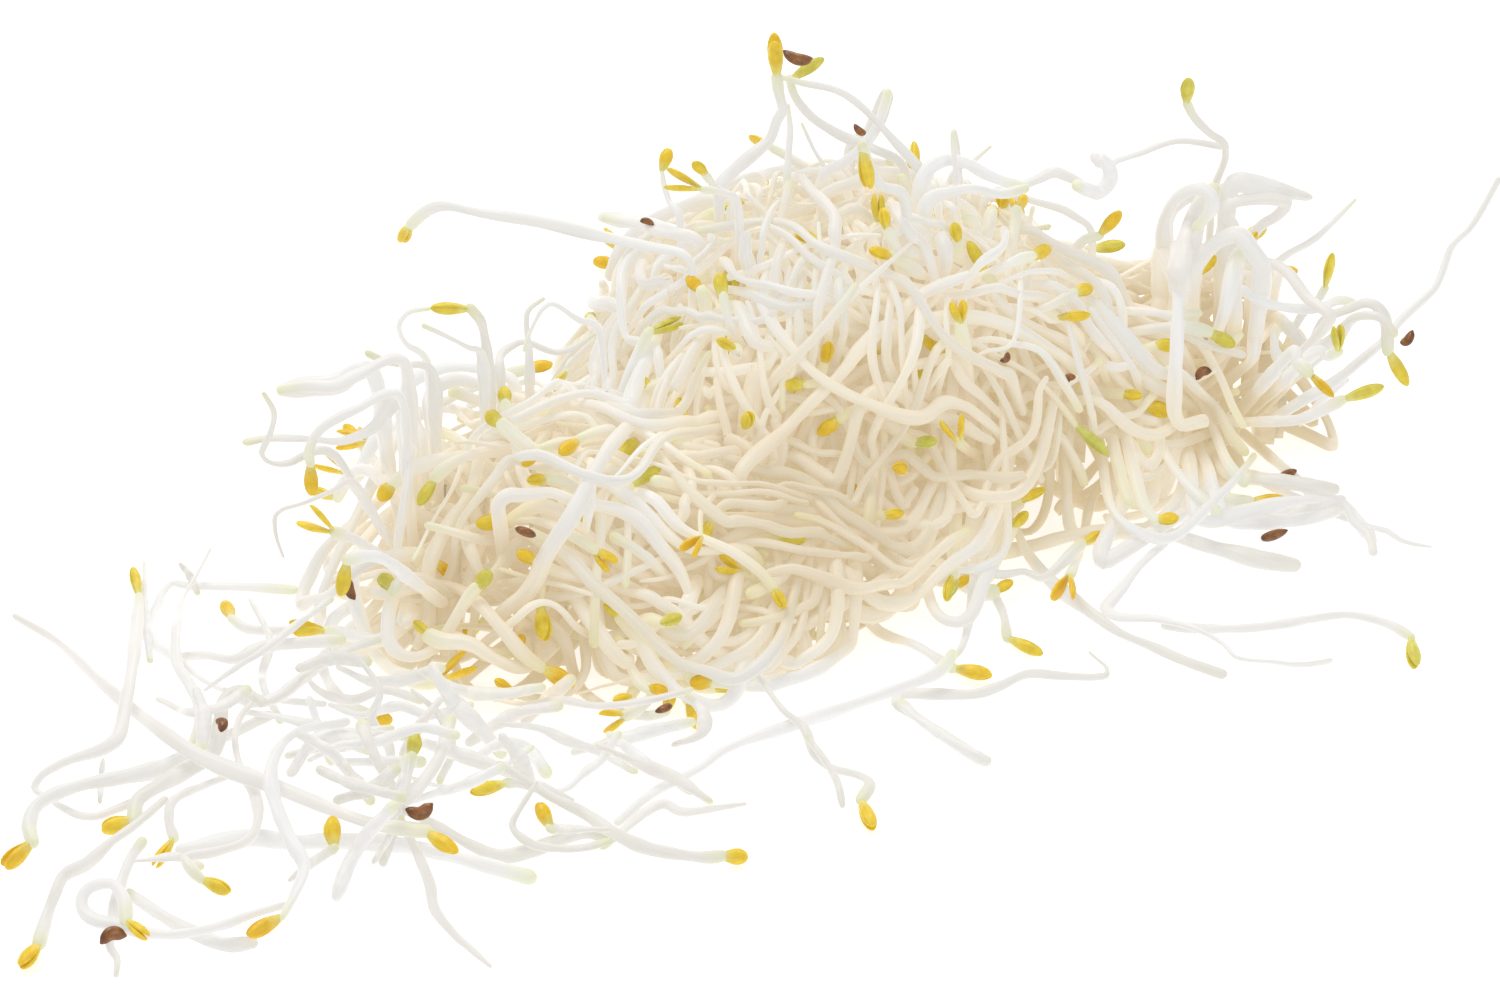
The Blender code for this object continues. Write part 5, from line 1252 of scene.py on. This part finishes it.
def mixed(tree, amount, first, second, blend="MIX"):
    """Two colours mixed by an amount, which is a number or a node's value."""
    node = tree.nodes.new("ShaderNodeMix")
    node.data_type = "RGBA"
    node.blend_type = blend
    for socket, value in ((node.inputs["Factor"], amount), (node.inputs[6], first),
                          (node.inputs[7], second)):
        if isinstance(value, bpy.types.NodeSocket):
            tree.links.new(value, socket)
        else:
            socket.default_value = value
    return node.outputs[2]


def multiplied(tree, colour, *layers):
    """The colour times every layer in turn."""
    for layer in layers:
        colour = mixed(tree, 1.0, colour, layer, "MULTIPLY")
    return colour


def speckle(tree, scale, detail, stretch=(1, 1, 1), roughness=0.5):
    """Noise over the object's own coordinates, stretched by the three factors."""
    place = tree.nodes.new("ShaderNodeTexCoord")
    mapping = tree.nodes.new("ShaderNodeMapping")
    mapping.inputs["Scale"].default_value = stretch
    noise = tree.nodes.new("ShaderNodeTexNoise")
    set_inputs(noise, {"Scale": scale, "Detail": detail, "Roughness": roughness})
    tree.links.new(place.outputs["Object"], mapping.inputs["Vector"])
    tree.links.new(mapping.outputs["Vector"], noise.inputs["Vector"])
    return noise.outputs["Fac"]


def grain_along(tree, around, lengthwise):
    """Noise drawn out along a sprout, from the values its mesh carries."""
    combine = tree.nodes.new("ShaderNodeCombineXYZ")
    for label, factor, socket in (("around", around, "X"), ("along", lengthwise, "Y"),
                                  ("tone", 60.0, "Z")):
        scaled = tree.nodes.new("ShaderNodeMath")
        scaled.operation = "MULTIPLY"
        scaled.inputs[1].default_value = factor
        tree.links.new(read_value(tree, label), scaled.inputs[0])
        tree.links.new(scaled.outputs[0], combine.inputs[socket])
    noise = tree.nodes.new("ShaderNodeTexNoise")
    set_inputs(noise, {"Scale": 1.0, "Detail": 3.0})
    tree.links.new(combine.outputs["Vector"], noise.inputs["Vector"])
    return noise.outputs["Fac"]


def bumped(tree, shader, height, strength, distance):
    bump = tree.nodes.new("ShaderNodeBump")
    set_inputs(bump, {"Strength": strength, "Distance": distance * MM})
    tree.links.new(height, bump.inputs["Height"])
    tree.links.new(bump.outputs["Normal"], shader.inputs["Normal"])


def stem_material():
    """Moist, translucent white stem: streaked along, greenish at its top, with painted shade that makes it
    creamier and darker deep in the heap and on its side away from the light.

    Every stem also carries a painted glow, an emission that stands in for light passed on from stem to
    stem, warmer and weaker the deeper it lies.
    """
    made, tree, shader = shader_of("sprout_stem")
    painted_shade = read_value(tree, "painted_shade")
    # Base colour by painted shade: pale in the open, creamier and darker deep in the heap and away from the
    # light.
    body = ramp(tree, painted_shade, [(0.0, STEM_PALE), (0.2, STEM_SHALLOW_PAINTED_SHADE), (1.0, STEM_DEEP_PAINTED_SHADE)])
    shade = ramp(tree, read_value(tree, "tone"), [(0.0, (0.9, 0.88, 0.83)), (0.5, (1, 1, 1)),
                                                  (1.0, (0.95, 0.92, 0.88))])
    ends = ramp(tree, read_value(tree, "along"), [(0.0, (0.98, 0.97, 0.94)), (0.2, (1, 1, 1)),
                                                  (0.88, (1, 1, 1)), (1.0, (0.93, 0.95, 0.68))])
    streaks = ramp(tree, grain_along(tree, 7.0, 9.0), [(0.3, (0.94, 0.935, 0.92)), (0.7, (1, 1, 1))])
    # Painted glow (emission) by the same share: neutral in the open, warmer and weaker deeper down.
    glow = ramp(tree, painted_shade, [(0.0, GLOW_OPEN), (0.2, GLOW_SHALLOW), (0.5, GLOW_MIDDLE),
                               (1.0, GLOW_DEEP)])
    for colour, socket in ((body, "Base Color"), (glow, "Emission Color")):
        tree.links.new(multiplied(tree, colour, shade, ends, streaks), shader.inputs[socket])
    set_inputs(shader, {"Emission Strength": 1.0, "Roughness": 0.42, "IOR": 1.36})
    bumped(tree, shader, grain_along(tree, 9.0, 30.0), 0.25, 0.05)
    return made


def cotyledon_material():
    """Golden seed leaf, greener on some, pale where it joins the stem, finely grained."""
    made, tree, shader = shader_of("sprout_cotyledon")
    body = ramp(tree, read_value(tree, "tone"),
                [(0.0, (0.8, 0.54, 0.04)), (0.35, (0.82, 0.62, 0.055)), (0.7, (0.76, 0.63, 0.08)),
                 (1.0, (0.6, 0.61, 0.14))])
    fade = ramp(tree, read_value(tree, "along"),
                [(0.0, (1, 1, 1)), (0.5, (0, 0, 0)), (1.0, (0, 0, 0))])
    colour = mixed(tree, fade, body, COTYLEDON_BASE)
    mottle = ramp(tree, speckle(tree, 1400.0, 3.0), [(0.35, (0.9, 0.86, 0.74)), (0.65, (1, 1, 1))])
    grain = ramp(tree, grain_along(tree, 14.0, 3.0), [(0.35, (0.93, 0.9, 0.78)), (0.7, (1, 1, 1))])
    colour = multiplied(tree, colour, mottle, grain)
    # The seed leaves also carry a painted glow: they give off light of their own colour.
    for socket in ("Base Color", "Emission Color"):
        tree.links.new(colour, shader.inputs[socket])
    set_inputs(shader, {"Emission Strength": COTYLEDON_GLOW, "Roughness": 0.38, "IOR": 1.4,
                        "Subsurface Weight": 0.4, "Subsurface Radius": (1.0, 0.62, 0.12),
                        "Subsurface Scale": 0.4 * MM})
    bumped(tree, shader, grain_along(tree, 18.0, 5.0), 0.3, 0.05)
    return made


def coat_material():
    """Thin glossy brown seed shell, mottled, darker towards its ends."""
    made, tree, shader = shader_of("sprout_seed_coat")
    body = ramp(tree, speckle(tree, 1300.0, 5.0, roughness=0.65),
                [(0.3, (0.13, 0.045, 0.014)), (0.55, (0.3, 0.12, 0.035)), (0.8, (0.46, 0.22, 0.08))])
    ends = ramp(tree, read_value(tree, "along"),
                [(0.0, (0.5, 0.42, 0.4)), (0.3, (1, 1, 1)), (0.75, (1, 1, 1)), (1.0, (0.55, 0.45, 0.42))])
    tree.links.new(multiplied(tree, body, ends), shader.inputs["Base Color"])
    set_inputs(shader, {"Roughness": 0.3, "Subsurface Weight": 0.15,
                        "Subsurface Radius": (1.0, 0.4, 0.15), "Subsurface Scale": 0.3 * MM})
    bumped(tree, shader, speckle(tree, 2200.0, 4.0), 0.4, 0.08)
    return made


def core_material():
    """The depths of the heap, where stems lie packed too close to tell apart, in the stems' painted deep
    shade and with their painted glow.
    """
    made, tree, shader = shader_of("packed_stems")
    patches = speckle(tree, 260.0, 4.0, (1, 1, 2))
    colour = ramp(tree, patches, [(0.3, (0.44, 0.36, 0.23)), (0.7, STEM_DEEP_PAINTED_SHADE)])
    tree.links.new(colour, shader.inputs["Base Color"])
    glow = ramp(tree, patches, [(0.3, (0.31, 0.25, 0.165)), (0.7, GLOW_DEEP)])
    tree.links.new(glow, shader.inputs["Emission Color"])
    set_inputs(shader, {"Emission Strength": 1.0, "Roughness": 0.5})
    bumped(tree, shader, speckle(tree, 420.0, 5.0), 0.8, 0.8)
    return made


def finished(obj, nodes=()):
    """Rides the piece on the part's one body and the nodes it stands for."""
    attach(obj, "root")
    if nodes:
        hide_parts(*nodes)


def dress_loose(sprouts, middle, white, yellow, rng):
    """A finer stem and pair of cotyledons for each sprout that is a solid of its own."""
    for name, sprout in zip(LOOSE, sprouts):
        skin = Skin(middle)
        skin.add(*stem_rings(sprout, TRACED_DETAIL, rng), rng.uniform())
        finished(skin.build(f"{name}_fine_stem", white), [f"{name}_stem"])
        if sprout.tip is not None:
            skin = Skin(middle)
            add_pair(skin, sprout, rng.choice(LOOSE_SPREADS), rng)
            finished(skin.build(f"{name}_fine_cotyledons", yellow),
                     [f"{name}_cotyledons"])


def zone_of(sprout):
    """The part of the heap that a sprout is in, by the middle of its line."""
    x, y = sprout.line[KNOTS // 2][:2]
    if x < LEFT_OF:
        return "left"
    if x > RIGHT_OF:
        return "right"
    return ("front" if y < FRONT_OF else "back") + ("_left" if x < HALFWAY else "_right")


def dress_heap(main, fillers, middle, opened, white, yellow, rng):
    """The heap's own sprouts, gathered into a few pieces by where they lie."""
    stems = {zone: Skin(middle) for zone in ZONES}
    heads = Skin(middle)
    for sprout in main:
        stems[zone_of(sprout)].add(*stem_rings(sprout, TRACED_DETAIL, rng), rng.uniform())
    for sprout in fillers:
        stems[zone_of(sprout)].add(*stem_rings(sprout, FILLER_DETAIL, rng), rng.uniform())
    for sprout, spread in zip(main + fillers, opened):
        if sprout.tip is not None:
            add_pair(heads, sprout, spread, rng)
    for zone, skin in stems.items():
        piece = skin.build(f"{zone}_stems", white)
        finished(piece, ["tangle"] if zone == "front_left" else ())
    finished(heads.build("heap_cotyledons", yellow))


def dress_coats(middle, brown, rng):
    """The seed coats: those that are solids, then the rest of them as one piece."""
    for name, (start, end, lift) in COATS.items():
        skin = Skin(middle)
        ends = on_heap(start, lift) - middle, on_heap(end, lift) - middle
        skin.add(*coat_rings(*ends, rng), rng.uniform())
        finished(skin.build(f"{name}_fine", brown), [name])
    skin = Skin(middle)
    for start, end, lift, depth in MORE_COATS:
        place_at, value = (on_heap, lift) if depth is None else (at_depth, depth)
        ends = place_at(start, value) - middle, place_at(end, value) - middle
        skin.add(*coat_rings(*ends, rng), rng.uniform())
    finished(skin.build("more_seed_coats", brown))


def floor():
    """The plain pale surface that the heap lies on."""
    made, _, shader = shader_of("pale_surface")
    set_inputs(shader, {"Base Color": (0.6, 0.6, 0.6, 1), "Roughness": 0.8,
                        "Emission Color": (1, 1, 1, 1), "Emission Strength": FLOOR_GLOW})
    corners = np.array([(-1, -1, 0), (1, -1, 0), (1, 1, 0), (-1, 1, 0)]) * FLOOR_REACH
    surface("floor", corners, [(0, 1, 2, 3)], made)


def lamp(name, place, size, power, colour):
    """A large soft light at place, turned to the heap."""
    light = bpy.data.lights.new(name, "AREA")
    light.shape = "DISK"
    light.size = size * MM
    light.energy = power
    light.color = colour
    obj = placed(name, light)
    obj.location = Vector(place) * MM
    obj.rotation_euler = (-obj.location).to_track_quat("-Z", "Y").to_euler()


def lighting():
    world = bpy.data.worlds.new("studio")
    world.use_nodes = True
    sky = world.node_tree.nodes["Background"]
    set_inputs(sky, {"Color": (1, 1, 1, 1), "Strength": SKY_STRENGTH})
    bpy.context.scene.world = world
    for name, values in LAMPS.items():
        lamp(name, *values)
    bpy.context.scene.view_settings.view_transform = "Standard"
    bpy.context.scene.view_settings.look = "None"


def camera(middle):
    """The camera that the picture's places are measured through."""
    data = bpy.data.cameras.new("camera")
    data.sensor_width = SENSOR_WIDTH
    data.lens = SENSOR_WIDTH * PIXELS_PER_MM * VIEW_DISTANCE / (2 * PICTURE_CENTRE[0])
    data.clip_start = 0.01
    obj = placed("camera", data)
    obj.location = Vector((picture_view()[0] - middle) * MM)
    obj.rotation_euler = (math.pi / 2 - VIEW_ELEVATION, 0, 0)
    bpy.context.scene.camera = obj


def main():
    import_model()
    sprouts, middle = lay_out()
    camera(middle)
    lighting()
    floor()
    white, yellow, brown = stem_material(), cotyledon_material(), coat_material()
    rng = np.random.default_rng(LOOK_SEED)
    dress_loose(sprouts[:len(LOOSE)], middle, white, yellow, rng)
    fillers = [shifted(sprout, -middle) for sprout in
               fill_in([shifted(sprout, middle) for sprout in sprouts])]
    tangled = sprouts[len(LOOSE):]
    opened = list(rng.choice(HEAP_SPREADS, len(tangled) + len(MORE_STRANDS)))
    opened += [spread for _, _, spread in MORE_HEADS]
    opened += list(rng.choice(HEAP_SPREADS, FILLERS))
    dress_heap(tangled, fillers, middle, opened, white, yellow, rng)
    dress_coats(middle, brown, rng)
    finished(surface("packed_core", *core_surface(middle), core_material()))
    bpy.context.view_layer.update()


main()
